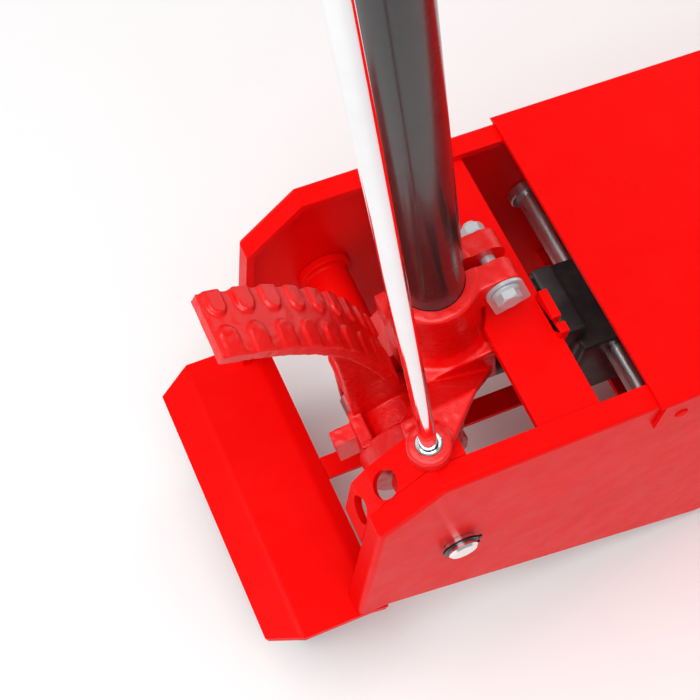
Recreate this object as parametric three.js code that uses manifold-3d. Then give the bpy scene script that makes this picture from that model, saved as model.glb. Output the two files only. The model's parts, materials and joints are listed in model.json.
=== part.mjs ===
// Long-chassis hydraulic trolley jack with a foot pedal and a lockable handle.
// Millimetres, +X forward to the saddle, +Y to the right-hand plate, +Z up.
// Everything is laid out from the handle axle, and the finished group is moved
// so that its origin is under the middle of the jack, on the floor.
import * as THREE from 'three';
import { mergeVertices } from 'three/addons/utils/BufferGeometryUtils.js';
import { ConvexGeometry } from 'three/addons/geometries/ConvexGeometry.js';
import Module from 'manifold-3d';

const wasm = await Module();
wasm.setup();

// ---------------------------------------------------------------- driving dimensions
const GAP = 0.3;                 // between pieces that touch
const PLAY = 0.4;                // radial play of a pin in its bore
const ROUND = 20;                // sides of a round piece
const CUT_OVER = 2;              // how far a cutter runs past a face

const CHASSIS_WIDTH = 240;
const PLATE = 6;                 // side plate thickness
const FLANGE = 17.4;             // width of the bent-in edge, plate included
const AXLE_HEIGHT = 216;         // handle axle above the floor
const PLATE_TOP = 118.2;         // top edge above the handle axle
const REAR_X = -68.5;            // rear edge of the side plates
const CHAMFER_TOP_X = -29.6;     // where the rear chamfer starts
const CHAMFER_LOW_Z = 73.4;      // where the rear chamfer ends
const BELLY_REAR_X = -42;        // where the lower edge starts to slope
const BELLY_FRONT_X = 258;       // where the slope ends
const GROUND_CLEARANCE = 20;     // under the belly
const TOP_FRONT_X = 640;         // where the top edge starts to slope
const NOSE_X = 1060;
const NOSE_TOP = 156;            // nose's top and lower corners above the floor
const NOSE_LOW = 66;
const NOSE_CUT_X = 970;          // where the belly turns up to the nose

const HANDLE_LEAN = THREE.MathUtils.degToRad(12.5);
const HANDLE_OFFSET = 46.8;      // handle centre line ahead of the axle
const HANDLE_LENGTH = 1050;      // along the lean, from the axle to the crossbar
const TUBE_R = 21.2;
const TUBE_WALL = 3;
const TUBE_FOOT = 92;            // where the tube sits in the socket
const COLLAR_WALL = 8.5;
const COLLAR_TOP = 150;
const LEDGE_TOP = 87;
const LEDGE_LOW = 42;
const LEDGE_REAR = 16;
const LEDGE_FRONT = 72;
const LEDGE_HALF = 37;
const CLAMP_CLEAR = 10.7;        // clamp bolt's centre ahead of the collar
const CLAMP_DOWN = 15;           // clamp bolt under the collar's top
const EAR_R = 13;
const EAR_HALF = 20;             // half the width over both ears
const SLOT = 8;
const BOLT_R = 5;
const TAB_SHEET = 2;             // spring tab under the clamp bolt
const TAB_REACH = 27;
const TAB_TILT = THREE.MathUtils.degToRad(12);
const CROSSBAR_R = 15;
const CROSSBAR_HALF = 165;
const CROSSBAR_CUP = 22;         // depth of the socket that takes the tube's top
const GRIP_LENGTH = 115;
const GRIP_WALL = 4;
const RELEASE_R = 5;             // release rod inside the handle tube
const RELEASE_LOW = 28;
const RELEASE_TOP = 34;          // rod's top above the crossbar's centre

const AXLE_R = 11.1;
const AXLE_PROUD = 9;            // axle end beyond the plate
const CIRCLIP = 1.5;
const CIRCLIP_OFFSET = 3.5;      // circlip's inner face from the plate
const HUB_R = 27;
const FAR_HUB_IN = 2;            // far hub's inner and outer ends
const FAR_HUB_OUT = 46;
const CHEEK_INSET = 47;          // near cheek's outer face from the plate's outer face
const CHEEK_THICK = 12;
const SPACER_WALL = 5;
const SPACER_FLANGE = 10;        // flange beyond the axle
const SPRING_WIRE_R = 2.2;       // torsion spring on the axle
const SPRING_TURNS = 5;

const LOCK_INSET = 10.2;         // lock rod from the flange's inner edge
const LOCK_BORE_R = 9.7;
const BUSH_R = 8.3;              // lock rod's bush in the lug
const BUSH_PROUD = 1.5;
const LOCK_ROD_R = 5.6;
const LUG_R = 14.5;
const LUG_CLEAR = 6;             // lug above the plates' top
const LUG_THICK = 12.8;
const LOCK_ANGLES = [13, 31, 49].map(THREE.MathUtils.degToRad);
const QUADRANT_WIDTH = 26.8;
const QUADRANT_LOW_Z = 22;
const QUADRANT_FRONT_X = -6;
const QUADRANT_CUT = 13;         // facet that cuts the quadrant's corner
const LOCK_ROD_TOP = 940;
const LOCK_GUIDE_AT = 880;

const PEDAL_HUB_R = 38;          // near cheek
const PEDAL_BARREL_R = 26;
const PEDAL_Y = -10;             // middle of the tread
const PEDAL_WIDTH = 44;
const PEDAL_THICK = 8;
const PEDAL_CLEAR = 3.5;         // between the pedal's hub and the handle's near cheek
const PEDAL_CHEEK_WIDTH = 21.5;  // pedal's near cheek
const PEDAL_FAR_IN = -13;        // pedal's far cheek
const PEDAL_FAR_Y = -2;
const PEDAL_ARC = [[4, 106], [-5, 140], [-18, 172], [-38, 201], [-62, 224], [-90, 243]];
const PEDAL_CHEEK = [[-30, 45], [-11, 50], [7, 46]];      // top of the far cheek
const PEDAL_WEB = [[-30, 10], [9, 20], [9.5, 45], [8, 75], [1, 104], [-9, 140], [-22, 170],
  [-31, 150], [-28.5, 118], [-28, 74]];

const ROLLER_ARM = 60;
const ROLLER_R = 17;
const ROLLER_PIN_R = 6;
const ROLLER_Y = 22;
const ROLLER_WIDTH = 25;
const PUMP_SWING = THREE.MathUtils.degToRad(50);
const PUMP_R = 8;
const PUMP_HEAD_R = 12;
const PUMP_HEAD = 6;
const PUMP_CLEAR = 3;             // plunger's head from the roller at rest
const PUMP_WALL = 9;

const CASTER_PLATE_TOP = 126;    // caster plate's top above the floor
const CASTER_REAR_X = -136;
const CASTER_FRONT_X = -42.6;
const CASTER_BEND_REAR = 24;     // width of the bent rear and front edges
const CASTER_BEND_FRONT = 13;
const CASTER_BEND_DROP = 11;
const CASTER_X = -89;
const CASTER_Y = 85;
const CASTER_WHEEL_R = 42;
const CASTER_WHEEL_W = 26;
const CASTER_TRAIL = 30;
const KINGPIN_R = 7;
const RACE_R = 20;               // swivel race, and the boss above it
const RACE_THICK = 6;
const CASTER_BOSS = 8;
const CASTER_AXLE_R = 6;
const FORK_PLATE = 6;

const CROSS_REAR_X = 47;         // cross plate
const CROSS_FRONT_X = 93;
const COVER_REAR_X = 124;
const COVER_FRONT_X = 560;
const COVER_SHEET = 3;
const COVER_LIP = 34;
const SCREW_R = 5;
const SCREW_BACK = 22;           // cover screw ahead of the cover's rear edge
const STRUT_WIDTH = 18;          // centre strut under the hydraulic unit
const STRUT_DROP = 5;            // strut's top under the caster plate's top
const STRUT_END = 235;
const STRUT_FOOT = 30;

const WHEEL_R = 75;              // front wheels
const WHEEL_W = 46;
const WHEEL_OUT = 8;             // wheel's inner face from the plate
const DISH = 9;
const FRONT_AXLE_X = 925;
const FRONT_AXLE_R = 15;

const PIVOT = [580, 66];         // lift arm shaft, x and z
const ARM_SHAFT_R = 18;
const ARM_LENGTH = 430;
const SADDLE_OVER_AXLE = 60;     // lowered saddle pin above the front axle
const ARM_SWING = THREE.MathUtils.degToRad(50);
const ARM_CLEAR = 6;             // arm cheek's inner face from the reservoir
const ARM_SHEET = 12;
const THRUST_ARM = 78;
const THRUST_R = 12;
const SADDLE_PIN_R = 11;
const TIE_DROP = 45;             // tie rod pins under the arm's pins
const TIE_PIN_R = 8;
const TIE_CLEAR = 9;             // tie rod's near face from the arm
const TIE_THICK = 12;
const SADDLE_R = 48;
const SADDLE_RISE = 38;          // saddle's underside above its pin
const SADDLE_THICK = 14;
const PAD_THICK = 6;

const BLOCK = { x0: 135, x1: 200, y: 36, z0: -42, z1: 40 };
const BOSS = { x0: 120, y: 28, z0: -30, z1: 60 };         // raised rear face of the block
const HOUSING = { y0: 2, y1: 42, drop: 29 };              // pump housing round the plunger's bore
const UNIT_PIN_R = 9;
const UNIT_COLLAR = 8;
const VALVE_R = 7;
const VALVE_AT = [-12, 10];
const VALVE_HEX = 16;
const RESERVOIR_R = 44;
const RESERVOIR_END = 470;
const RESERVOIR_RIM = 5;
const GLAND = 22;                // length of the gland that the ram runs through
const RAM_R = 20;
const RAM_INSERT = 140;
const CROSSHEAD_HALF = 20;

// ---------------------------------------------------------------- derived sizes
const HALF = CHASSIS_WIDTH / 2;
const INNER = HALF - PLATE;
const NEAR_CHEEK_OUT = HALF - CHEEK_INSET;
const NEAR_CHEEK_IN = NEAR_CHEEK_OUT - CHEEK_THICK;
const PEDAL_NEAR_Y = PEDAL_CLEAR - NEAR_CHEEK_IN;
const PEDAL_NEAR_IN = PEDAL_NEAR_Y + PEDAL_CHEEK_WIDTH;
const FLOOR = -AXLE_HEIGHT;
const BELLY_Z = FLOOR + GROUND_CLEARANCE;
const CASTER_TOP_Z = FLOOR + CASTER_PLATE_TOP;
const BELLY_REAR_Z = CASTER_TOP_Z + GAP;
const COLLAR_R = TUBE_R + COLLAR_WALL;
const CLAMP_AT = [HANDLE_OFFSET + COLLAR_R + CLAMP_CLEAR, COLLAR_TOP - CLAMP_DOWN];
const SPACER_R = AXLE_R + PLAY + SPACER_WALL;
const LOCK_Y = -(HALF - FLANGE - LOCK_INSET);
const LUG_LOW = PLATE_TOP + LUG_CLEAR;
const LUG_TOP = LUG_LOW + LUG_THICK;
const COVER_TOP = PLATE_TOP + GAP + COVER_SHEET;
const COVER_OUTER = HALF + GAP + COVER_SHEET;
const ROLLER_AT = [-ROLLER_ARM * Math.sin(HANDLE_LEAN), -ROLLER_ARM * Math.cos(HANDLE_LEAN)];
const PUMP_Z = -ROLLER_ARM * (1 + Math.cos(PUMP_SWING)) / 2;
const PUMP_STROKE = ROLLER_ARM * Math.sin(PUMP_SWING);
const PUMP_HEAD_X = ROLLER_R + PUMP_CLEAR;
const PUMP_AXIS = [ROLLER_Y, PUMP_Z];
const FRONT_AXLE_Z = FLOOR + WHEEL_R;
const FRONT_AXLE_AT = [FRONT_AXLE_X, FRONT_AXLE_Z];
const ARM_GAP = RESERVOIR_R + ARM_CLEAR;
const ARM_OUTER = ARM_GAP + ARM_SHEET;
const TIE_Y = -(ARM_OUTER + TIE_CLEAR + TIE_THICK / 2);
const SADDLE_Z = FRONT_AXLE_Z + SADDLE_OVER_AXLE;
const ARM_DROOP = Math.asin((PIVOT[1] - SADDLE_Z) / ARM_LENGTH);
const SADDLE_X = PIVOT[0] + ARM_LENGTH * Math.cos(ARM_DROOP);
const THRUST_X = PIVOT[0] - THRUST_ARM * Math.sin(ARM_SWING / 2);
const THRUST_ANGLE = 1.5 * Math.PI + ARM_DROOP - ARM_SWING / 2;   // in the arm's own frame
const THRUST_AT = [THRUST_ARM * Math.cos(THRUST_ANGLE), THRUST_ARM * Math.sin(THRUST_ANGLE)];
const RAM_Z = PIVOT[1] - THRUST_ARM * (1 + Math.cos(ARM_SWING / 2)) / 2;
const RAM_AXIS = [0, RAM_Z];
const UNIT_PIN = [(BLOCK.x0 + BLOCK.x1) / 2, BLOCK.z1 - 20];
const CASTER_WHEEL_Z = FLOOR + CASTER_WHEEL_R;

// Upper and lower edges of a side plate, in x and z.
const topPath = [
  [REAR_X, BELLY_REAR_Z], [REAR_X, CHAMFER_LOW_Z], [CHAMFER_TOP_X, PLATE_TOP],
  [TOP_FRONT_X, PLATE_TOP], [NOSE_X, FLOOR + NOSE_TOP],
];
const lowPath = [
  [NOSE_X, FLOOR + NOSE_LOW], [NOSE_CUT_X, BELLY_Z], [BELLY_FRONT_X, BELLY_Z], [BELLY_REAR_X, BELLY_REAR_Z],
];

// ---------------------------------------------------------------- materials
function finish(color, roughness, metalness) {
  return () => new THREE.MeshStandardMaterial({ color, roughness, metalness });
}
const redPaint = finish(0xd8120c, 0.35, 0.1);
const castRed = finish(0xc80f0a, 0.5, 0.1);
const blackPaint = finish(0x17181a, 0.3, 0.2);
const darkIron = finish(0x222324, 0.55, 0.4);
const chrome = finish(0xe4e6e8, 0.12, 1);
const zinc = finish(0xb9bec4, 0.35, 0.9);
const steel = finish(0x8d9196, 0.4, 0.8);
const blackSteel = finish(0x26282a, 0.4, 0.7);
const rubber = finish(0x1b1b1c, 0.85, 0);
const brass = finish(0xb08d45, 0.35, 0.9);

// ---------------------------------------------------------------- solid helpers
function signedVolume(position, index) {
  const a = new THREE.Vector3();
  const b = new THREE.Vector3();
  const c = new THREE.Vector3();
  let volume = 0;
  for (let i = 0; i < index.length; i += 3) {
    a.fromArray(position, 3 * index[i]);
    b.fromArray(position, 3 * index[i + 1]);
    c.fromArray(position, 3 * index[i + 2]);
    volume += a.dot(b.cross(c)) / 6;
  }
  return volume;
}

function solid(geometry) {
  const bare = geometry.clone();
  bare.deleteAttribute('normal');
  bare.deleteAttribute('uv');
  const merged = mergeVertices(bare, 1e-4);
  const position = new Float32Array(merged.attributes.position.array);
  const index = new Uint32Array(merged.index.array);
  if (signedVolume(position, index) < 0) index.reverse();
  return new wasm.Manifold(new wasm.Mesh({ numProp: 3, vertProperties: position, triVerts: index }));
}

function join(...pieces) {
  return pieces.reduce((whole, piece) => whole.add(piece));
}

function cut(body, ...tools) {
  return tools.reduce((rest, tool) => rest.subtract(tool), body);
}

function box(x0, x1, y0, y1, z0, z1) {
  const shape = new THREE.BoxGeometry(x1 - x0, y1 - y0, z1 - z0);
  return solid(shape.translate((x0 + x1) / 2, (y0 + y1) / 2, (z0 + z1) / 2));
}

// A round bar along 'x', 'y' or 'z' from lo to hi; the centre is the other two coordinates.
function bar(axis, lo, hi, radius, centre, sides = ROUND, tip = radius) {
  const shape = new THREE.CylinderGeometry(tip, radius, hi - lo, sides);
  const middle = (lo + hi) / 2;
  if (axis === 'x') shape.rotateZ(-Math.PI / 2).translate(middle, centre[0], centre[1]);
  if (axis === 'y') shape.translate(centre[0], middle, centre[1]);
  if (axis === 'z') shape.rotateX(Math.PI / 2).translate(centre[0], centre[1], middle);
  return solid(shape);
}

// An outline in x and z, drawn out along y.
function sidePrism(points, y0, y1) {
  const outline = new THREE.Shape(points.map(([x, z]) => new THREE.Vector2(x, z)));
  const shape = new THREE.ExtrudeGeometry(outline, { depth: y1 - y0, bevelEnabled: false });
  return solid(shape.rotateX(Math.PI / 2).translate(0, y1, 0));
}

// An outline in x and y, drawn out along z.
function flatPrism(points, z0, z1) {
  const outline = new THREE.Shape(points.map(([x, y]) => new THREE.Vector2(x, y)));
  const shape = new THREE.ExtrudeGeometry(outline, { depth: z1 - z0, bevelEnabled: false });
  return solid(shape.translate(0, 0, z0));
}

function hull(points) {
  return solid(new ConvexGeometry(points.map(([x, y, z]) => new THREE.Vector3(x, y, z))));
}

function ringPoints(cx, cz, radius, count = 16) {
  const angles = Array.from({ length: count }, (_, i) => (2 * Math.PI * i) / count);
  return angles.map((angle) => [cx + radius * Math.cos(angle), cz + radius * Math.sin(angle)]);
}

// A flat bar with round ends between two centres in x and z.
function linkBar(from, to, radiusFrom, radiusTo, y0, y1) {
  const rim = [...ringPoints(...from, radiusFrom), ...ringPoints(...to, radiusTo)];
  return hull([y0, y1].flatMap((y) => rim.map(([x, z]) => [x, y, z])));
}

// A profile of [radius, height] turned about an axis; it starts and ends on the axis.
function turned(profile, axis, place, sides = ROUND) {
  const shape = new THREE.LatheGeometry(profile.map(([r, h]) => new THREE.Vector2(r, h)), sides);
  if (axis === 'x') shape.rotateZ(-Math.PI / 2);
  if (axis === 'z') shape.rotateX(Math.PI / 2);
  return solid(shape.translate(...place));
}

// An open path in x and z moved sideways; positive distances go to its right.
function offsetPath(points, distance) {
  const unit = points.slice(1).map(([x, z], i) => {
    const run = new THREE.Vector2(x - points[i][0], z - points[i][1]).normalize();
    return new THREE.Vector2(run.y, -run.x);
  });
  return points.map(([x, z], i) => {
    const before = unit[Math.max(i - 1, 0)];
    const after = unit[Math.min(i, unit.length - 1)];
    const miter = before.clone().add(after).multiplyScalar(1 / (1 + before.dot(after)));
    return [x + miter.x * distance, z + miter.y * distance];
  });
}

function sheetStrip(path, thickness, y0, y1) {
  return sidePrism([...path, ...offsetPath(path, thickness).reverse()], y0, y1);
}

function place(parent, name, body, material) {
  const mesh = body.getMesh();
  const geometry = new THREE.BufferGeometry();
  geometry.setAttribute('position', new THREE.BufferAttribute(new Float32Array(mesh.vertProperties), 3));
  geometry.setIndex(new THREE.BufferAttribute(new Uint32Array(mesh.triVerts), 1));
  geometry.computeVertexNormals();
  const piece = new THREE.Mesh(geometry, material());
  piece.name = name;
  parent.add(piece);
  return piece;
}

function hexHead(axis, lo, hi, across, centre) {
  return bar(axis, lo, hi, across / Math.sqrt(3), centre, 6);
}

// ---------------------------------------------------------------- chassis
function sidePlate(side) {
  const y0 = side < 0 ? -HALF : INNER;
  const flangeY = side < 0 ? -HALF : HALF - FLANGE;
  const sheet = sidePrism([...topPath, ...lowPath], y0, y0 + PLATE);
  const flange = sheetStrip(topPath, PLATE, flangeY, flangeY + FLANGE);
  const bores = [[[0, 0], AXLE_R], [PIVOT, ARM_SHAFT_R], [FRONT_AXLE_AT, FRONT_AXLE_R]];
  return cut(join(sheet, flange), ...bores.map(([centre, radius]) =>
    bar('y', y0 - CUT_OVER, y0 + PLATE + CUT_OVER, radius + GAP, centre)));
}

function quadrantPath() {
  const corner = [REAR_X, CHAMFER_LOW_Z];
  const run = new THREE.Vector2(CHAMFER_TOP_X - REAR_X, PLATE_TOP - CHAMFER_LOW_Z).normalize();
  return [
    [REAR_X, QUADRANT_LOW_Z], [REAR_X, corner[1] - QUADRANT_CUT / 2],
    [corner[0] + run.x * QUADRANT_CUT, corner[1] + run.y * QUADRANT_CUT],
    [CHAMFER_TOP_X, PLATE_TOP], [QUADRANT_FRONT_X, PLATE_TOP],
  ];
}

// A round hole along a radius from the handle axle.
function radialBore(angle, radius, y) {
  const shape = new THREE.CylinderGeometry(radius, radius, PLATE_TOP, ROUND);
  shape.rotateX(Math.PI / 2).translate(0, 0, PLATE_TOP);
  return solid(shape.rotateY(-angle).translate(0, y, 0));
}

function lockQuadrant() {
  const outer = -(HALF - FLANGE) + GAP;
  const strip = sheetStrip(quadrantPath(), PLATE, outer, outer + QUADRANT_WIDTH);
  return cut(strip, ...LOCK_ANGLES.map((angle) => radialBore(angle, LOCK_BORE_R, LOCK_Y)));
}

function casterPlate() {
  const rearBend = CASTER_REAR_X + CASTER_BEND_REAR;
  const frontBend = CASTER_FRONT_X - CASTER_BEND_FRONT;
  const low = CASTER_TOP_Z - CASTER_BEND_DROP;
  const path = [[CASTER_REAR_X, low], [rearBend, CASTER_TOP_Z], [frontBend, CASTER_TOP_Z],
    [CASTER_FRONT_X, CASTER_TOP_Z - CASTER_BEND_DROP / 2]];
  const sheet = sheetStrip(path, PLATE, -HALF, HALF);
  const nick = [28, 13];
  const corners = [-1, 1].map((side) => flatPrism([
    [CASTER_REAR_X - CUT_OVER, side * (HALF - nick[1] - CUT_OVER)],
    [CASTER_REAR_X - CUT_OVER, side * (HALF + CUT_OVER)],
    [CASTER_REAR_X + nick[0] + CUT_OVER, side * (HALF + CUT_OVER)],
  ], low - 2 * PLATE, CASTER_TOP_Z + CUT_OVER));
  const seats = [-CASTER_Y, CASTER_Y].map((y) => [CASTER_X, y]);
  const under = CASTER_TOP_Z - PLATE;
  const bosses = seats.map((at) => bar('z', under - CASTER_BOSS, under + CUT_OVER, RACE_R, at));
  const bores = seats.map((at) =>
    bar('z', under - CASTER_BOSS - CUT_OVER, under + CUT_OVER, KINGPIN_R + PLAY, at));
  return cut(join(cut(sheet, ...corners), ...bosses), ...bores);
}

// The flat bar from the caster plate under the hydraulic unit, with its cross foot.
function centreStrut() {
  const top = CASTER_TOP_Z - STRUT_DROP;
  const strut = box(CASTER_FRONT_X + GAP, STRUT_END, -STRUT_WIDTH / 2, STRUT_WIDTH / 2, top - PLATE, top);
  const foot = box(STRUT_END - STRUT_FOOT, STRUT_END, -INNER + GAP, INNER - GAP, top - PLATE, top);
  return join(strut, foot);
}

function crossPlate() {
  const top = PLATE_TOP - PLATE - GAP;
  const low = top - PLATE;
  const sheet = box(CROSS_REAR_X, CROSS_FRONT_X, -INNER + GAP, INNER - GAP, low, top);
  const notch = bar('z', low - CUT_OVER, top + CUT_OVER, COLLAR_R + 5,
    [HANDLE_OFFSET - PLATE_TOP * Math.sin(HANDLE_LEAN), 0]);
  const hook = box(CROSS_FRONT_X - 4, CROSS_FRONT_X + 3, -50, -16, low, top + 9);
  return join(cut(sheet, notch), hook);
}

function topCover() {
  const sheet = box(COVER_REAR_X, COVER_FRONT_X, -COVER_OUTER, COVER_OUTER, PLATE_TOP + GAP, COVER_TOP);
  const inside = COVER_OUTER - COVER_SHEET;
  const lips = [[-COVER_OUTER, -inside], [inside, COVER_OUTER]].map(([y0, y1]) =>
    box(COVER_REAR_X + 4, COVER_FRONT_X, y0, y1, COVER_TOP - COVER_LIP, COVER_TOP));
  return join(sheet, ...lips);
}

function coverScrew(side) {
  const face = COVER_OUTER + GAP;
  const [lo, hi] = side < 0 ? [-face - 2, -face] : [face, face + 2];
  return bar('y', lo, hi, SCREW_R, [COVER_REAR_X + SCREW_BACK, COVER_TOP - COVER_LIP * 0.7]);
}

function frontTie() {
  const bottom = FRONT_AXLE_Z - 40;
  const rear = FRONT_AXLE_X + 2 * FRONT_AXLE_R;
  return box(rear, rear + 45, -INNER + GAP, INNER - GAP, bottom, bottom + PLATE);
}

// ---------------------------------------------------------------- handle axle group
function handleAxle() {
  const end = HALF + AXLE_PROUD;
  const groove = (side) => {
    const near = HALF + CIRCLIP_OFFSET - GAP;
    const far = near + CIRCLIP + 2 * GAP;
    const [lo, hi] = side < 0 ? [-far, -near] : [near, far];
    return cut(bar('y', lo, hi, AXLE_R + CUT_OVER, [0, 0]), bar('y', lo - 1, hi + 1, AXLE_R - 2, [0, 0]));
  };
  return cut(bar('y', -end, end, AXLE_R, [0, 0]), groove(-1), groove(1));
}

function circlip(side) {
  const inner = HALF + CIRCLIP_OFFSET;
  const [lo, hi] = side < 0 ? [-inner - CIRCLIP, -inner] : [inner, inner + CIRCLIP];
  const ring = cut(bar('y', lo, hi, AXLE_R + 3, [0, 0]), bar('y', lo - 1, hi + 1, AXLE_R - 1.4, [0, 0]));
  return cut(ring, box(0, AXLE_R + 6, lo - 1, hi + 1, -3.5, 3.5));
}

function axleSpacer() {
  const near = FAR_HUB_OUT + GAP;
  const far = INNER - GAP;
  const flange = bar('y', far - 6, far, AXLE_R + SPACER_FLANGE, [0, 0]);
  const body = join(bar('y', near, far, SPACER_R, [0, 0]), flange);
  return cut(body, bar('y', near - 1, far + 1, AXLE_R + PLAY, [0, 0]));
}

class Helix extends THREE.Curve {
  constructor(radius, length, turns) {
    super();
    Object.assign(this, { radius, length, turns });
  }

  getPoint(t, target = new THREE.Vector3()) {
    const angle = 2 * Math.PI * this.turns * t;
    return target.set(this.radius * Math.cos(angle), this.length * t, this.radius * Math.sin(angle));
  }
}

function torsionSpring() {
  const radius = AXLE_R + SPRING_WIRE_R + 1.6;
  const low = -(INNER - 6);
  const high = -(NEAR_CHEEK_OUT + 5);
  const section = new THREE.Shape();
  section.absarc(0, 0, SPRING_WIRE_R, 0, 2 * Math.PI);
  const extrudePath = new Helix(radius, high - low, SPRING_TURNS);
  const steps = SPRING_TURNS * 14;
  const coil = new THREE.ExtrudeGeometry(section, { steps, curveSegments: 4, extrudePath });
  return solid(coil.translate(0, low, 0));
}

// ---------------------------------------------------------------- handle (x ahead, z along the handle)
// The bent arm from the ledge up and out to the lug that guides the lock rod.
function socketArm() {
  const [low, high] = [LUG_LOW, LUG_TOP - 3];
  const root = [[LEDGE_REAR, LEDGE_LOW + 20], [LEDGE_FRONT - 2, LEDGE_LOW], [LEDGE_FRONT - 2, LEDGE_LOW + 10],
    [LEDGE_REAR, LEDGE_TOP - 4]].map(([x, z]) => [x, -LEDGE_HALF + 3, z]);
  const bend = [low, high].flatMap((z) => [-10, 24].map((x) => [x, -(NEAR_CHEEK_OUT - 1), z]));
  const rim = ringPoints(0, 0, LUG_R - 2).flatMap(([x, dy]) => [low, high].map((z) => [x, LOCK_Y + dy, z]));
  return join(hull([...root, ...bend]), hull([...bend, ...rim]));
}

function handleSocket() {
  const [clampX, clampZ] = CLAMP_AT;
  const collar = bar('z', LEDGE_LOW + 20, COLLAR_TOP, COLLAR_R, [HANDLE_OFFSET, 0]);
  const ledge = box(LEDGE_REAR, LEDGE_FRONT, -LEDGE_HALF, LEDGE_HALF, LEDGE_LOW, LEDGE_TOP);
  const ears = linkBar([HANDLE_OFFSET, clampZ], [clampX, clampZ], EAR_R, EAR_R, -EAR_HALF, EAR_HALF);
  const hub = bar('y', FAR_HUB_IN, FAR_HUB_OUT, HUB_R, [0, 0]);
  const farNeck = linkBar([0, 0], [LEDGE_REAR + 22, LEDGE_LOW + 20], HUB_R, 20, FAR_HUB_IN, LEDGE_HALF);
  const nearCheek = linkBar([0, 0], [16, 92], HUB_R - 2, 16, -NEAR_CHEEK_OUT, -NEAR_CHEEK_IN);
  const lug = bar('z', LUG_LOW, LUG_TOP, LUG_R, [0, LOCK_Y]);
  const body = join(collar, ledge, ears, hub, farNeck, nearCheek, socketArm(), lug, rollerFork());
  const slotCut = box(HANDLE_OFFSET, clampX + EAR_R + CUT_OVER, -SLOT / 2, SLOT / 2,
    COLLAR_TOP - 44, COLLAR_TOP + CUT_OVER);
  return cut(body, slotCut,
    bar('z', TUBE_FOOT, COLLAR_TOP + CUT_OVER, TUBE_R + GAP, [HANDLE_OFFSET, 0]),
    bar('z', LEDGE_LOW - 30, TUBE_FOOT + CUT_OVER, RELEASE_R + 2, [HANDLE_OFFSET, 0]),
    bar('y', -EAR_HALF - CUT_OVER, EAR_HALF + CUT_OVER, BOLT_R + GAP, [clampX, clampZ], 20),
    bar('y', -NEAR_CHEEK_OUT - 6, FAR_HUB_OUT + CUT_OVER, AXLE_R + PLAY, [0, 0]),
    bar('z', LUG_LOW - CUT_OVER, LUG_TOP + CUT_OVER, BUSH_R + GAP, [0, LOCK_Y]),
    bar('y', 0, HALF, ROLLER_PIN_R + GAP, ROLLER_AT));
}

// The two cheeks under the hub that carry the pump roller.
function rollerFork() {
  const cheek = ROLLER_WIDTH / 2 + 2 * GAP;
  const thick = 6.5;
  const plates = [[ROLLER_Y - cheek - thick, ROLLER_Y - cheek], [ROLLER_Y + cheek, ROLLER_Y + cheek + thick]];
  return join(...plates.map(([y0, y1]) => linkBar([0, 0], ROLLER_AT, HUB_R - 1, ROLLER_R - 2, y0, y1)));
}

function rollerPin() {
  const reach = ROLLER_WIDTH / 2 + 9;
  return bar('y', ROLLER_Y - reach, ROLLER_Y + reach, ROLLER_PIN_R, ROLLER_AT);
}

function pumpRoller() {
  const [lo, hi] = [ROLLER_Y - ROLLER_WIDTH / 2, ROLLER_Y + ROLLER_WIDTH / 2];
  return cut(bar('y', lo, hi, ROLLER_R, ROLLER_AT), bar('y', lo - 1, hi + 1, ROLLER_PIN_R + PLAY, ROLLER_AT));
}

function lockTab() {
  const [x, z] = CLAMP_AT;
  const y1 = -EAR_HALF - GAP;
  const y0 = y1 - TAB_SHEET;
  const side = [Math.cos(TAB_TILT) * EAR_R, Math.sin(TAB_TILT) * EAR_R];
  const foot = [x + Math.sin(TAB_TILT) * TAB_REACH, z - Math.cos(TAB_TILT) * TAB_REACH];
  const tail = sidePrism([[x - side[0], z - side[1]], [x + side[0], z + side[1]],
    [foot[0] + side[0], foot[1] + side[1]], [foot[0] - side[0], foot[1] - side[1]]], y0, y1);
  return cut(join(bar('y', y0, y1, EAR_R, CLAMP_AT), tail), bar('y', y0 - 1, y1 + 1, BOLT_R + GAP, CLAMP_AT));
}

// Flange bolt and nut of the clamp: a washer face under a hexagon.
function clampBolt() {
  const seat = -EAR_HALF - TAB_SHEET - 2 * GAP;
  const washer = bar('y', seat - 1.8, seat, 2 * BOLT_R, CLAMP_AT);
  return join(washer, hexHead('y', seat - 8, seat - 1, 3 * BOLT_R, CLAMP_AT),
    bar('y', seat - 1, EAR_HALF + 12, BOLT_R, CLAMP_AT));
}

function clampNut() {
  const seat = EAR_HALF + GAP;
  const washer = bar('y', seat, seat + 1.8, 2 * BOLT_R, CLAMP_AT);
  const body = join(washer, hexHead('y', seat + 1, seat + 9, 3 * BOLT_R, CLAMP_AT));
  return cut(body, bar('y', seat - 1, seat + 12, BOLT_R + GAP, CLAMP_AT));
}

function handleTube() {
  const top = HANDLE_LENGTH - CROSSBAR_R - GAP;
  return cut(bar('z', TUBE_FOOT + GAP, top, TUBE_R, [HANDLE_OFFSET, 0]),
    bar('z', TUBE_FOOT - 1, top + 1, TUBE_R - TUBE_WALL, [HANDLE_OFFSET, 0]));
}

function crossbar() {
  const low = HANDLE_LENGTH - CROSSBAR_R;
  const tube = bar('y', -CROSSBAR_HALF, CROSSBAR_HALF, CROSSBAR_R, [HANDLE_OFFSET, HANDLE_LENGTH]);
  const cup = bar('z', low - CROSSBAR_CUP, HANDLE_LENGTH, TUBE_R + 4, [HANDLE_OFFSET, 0]);
  const bore = bar('z', low - CROSSBAR_CUP - CUT_OVER, low, TUBE_R + GAP, [HANDLE_OFFSET, 0]);
  const top = HANDLE_LENGTH + 2 * CROSSBAR_R;
  const shaft = bar('z', low - CROSSBAR_CUP, top, RELEASE_R + 1, [HANDLE_OFFSET, 0]);
  return cut(cut(join(tube, cup), bore), shaft);
}

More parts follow.
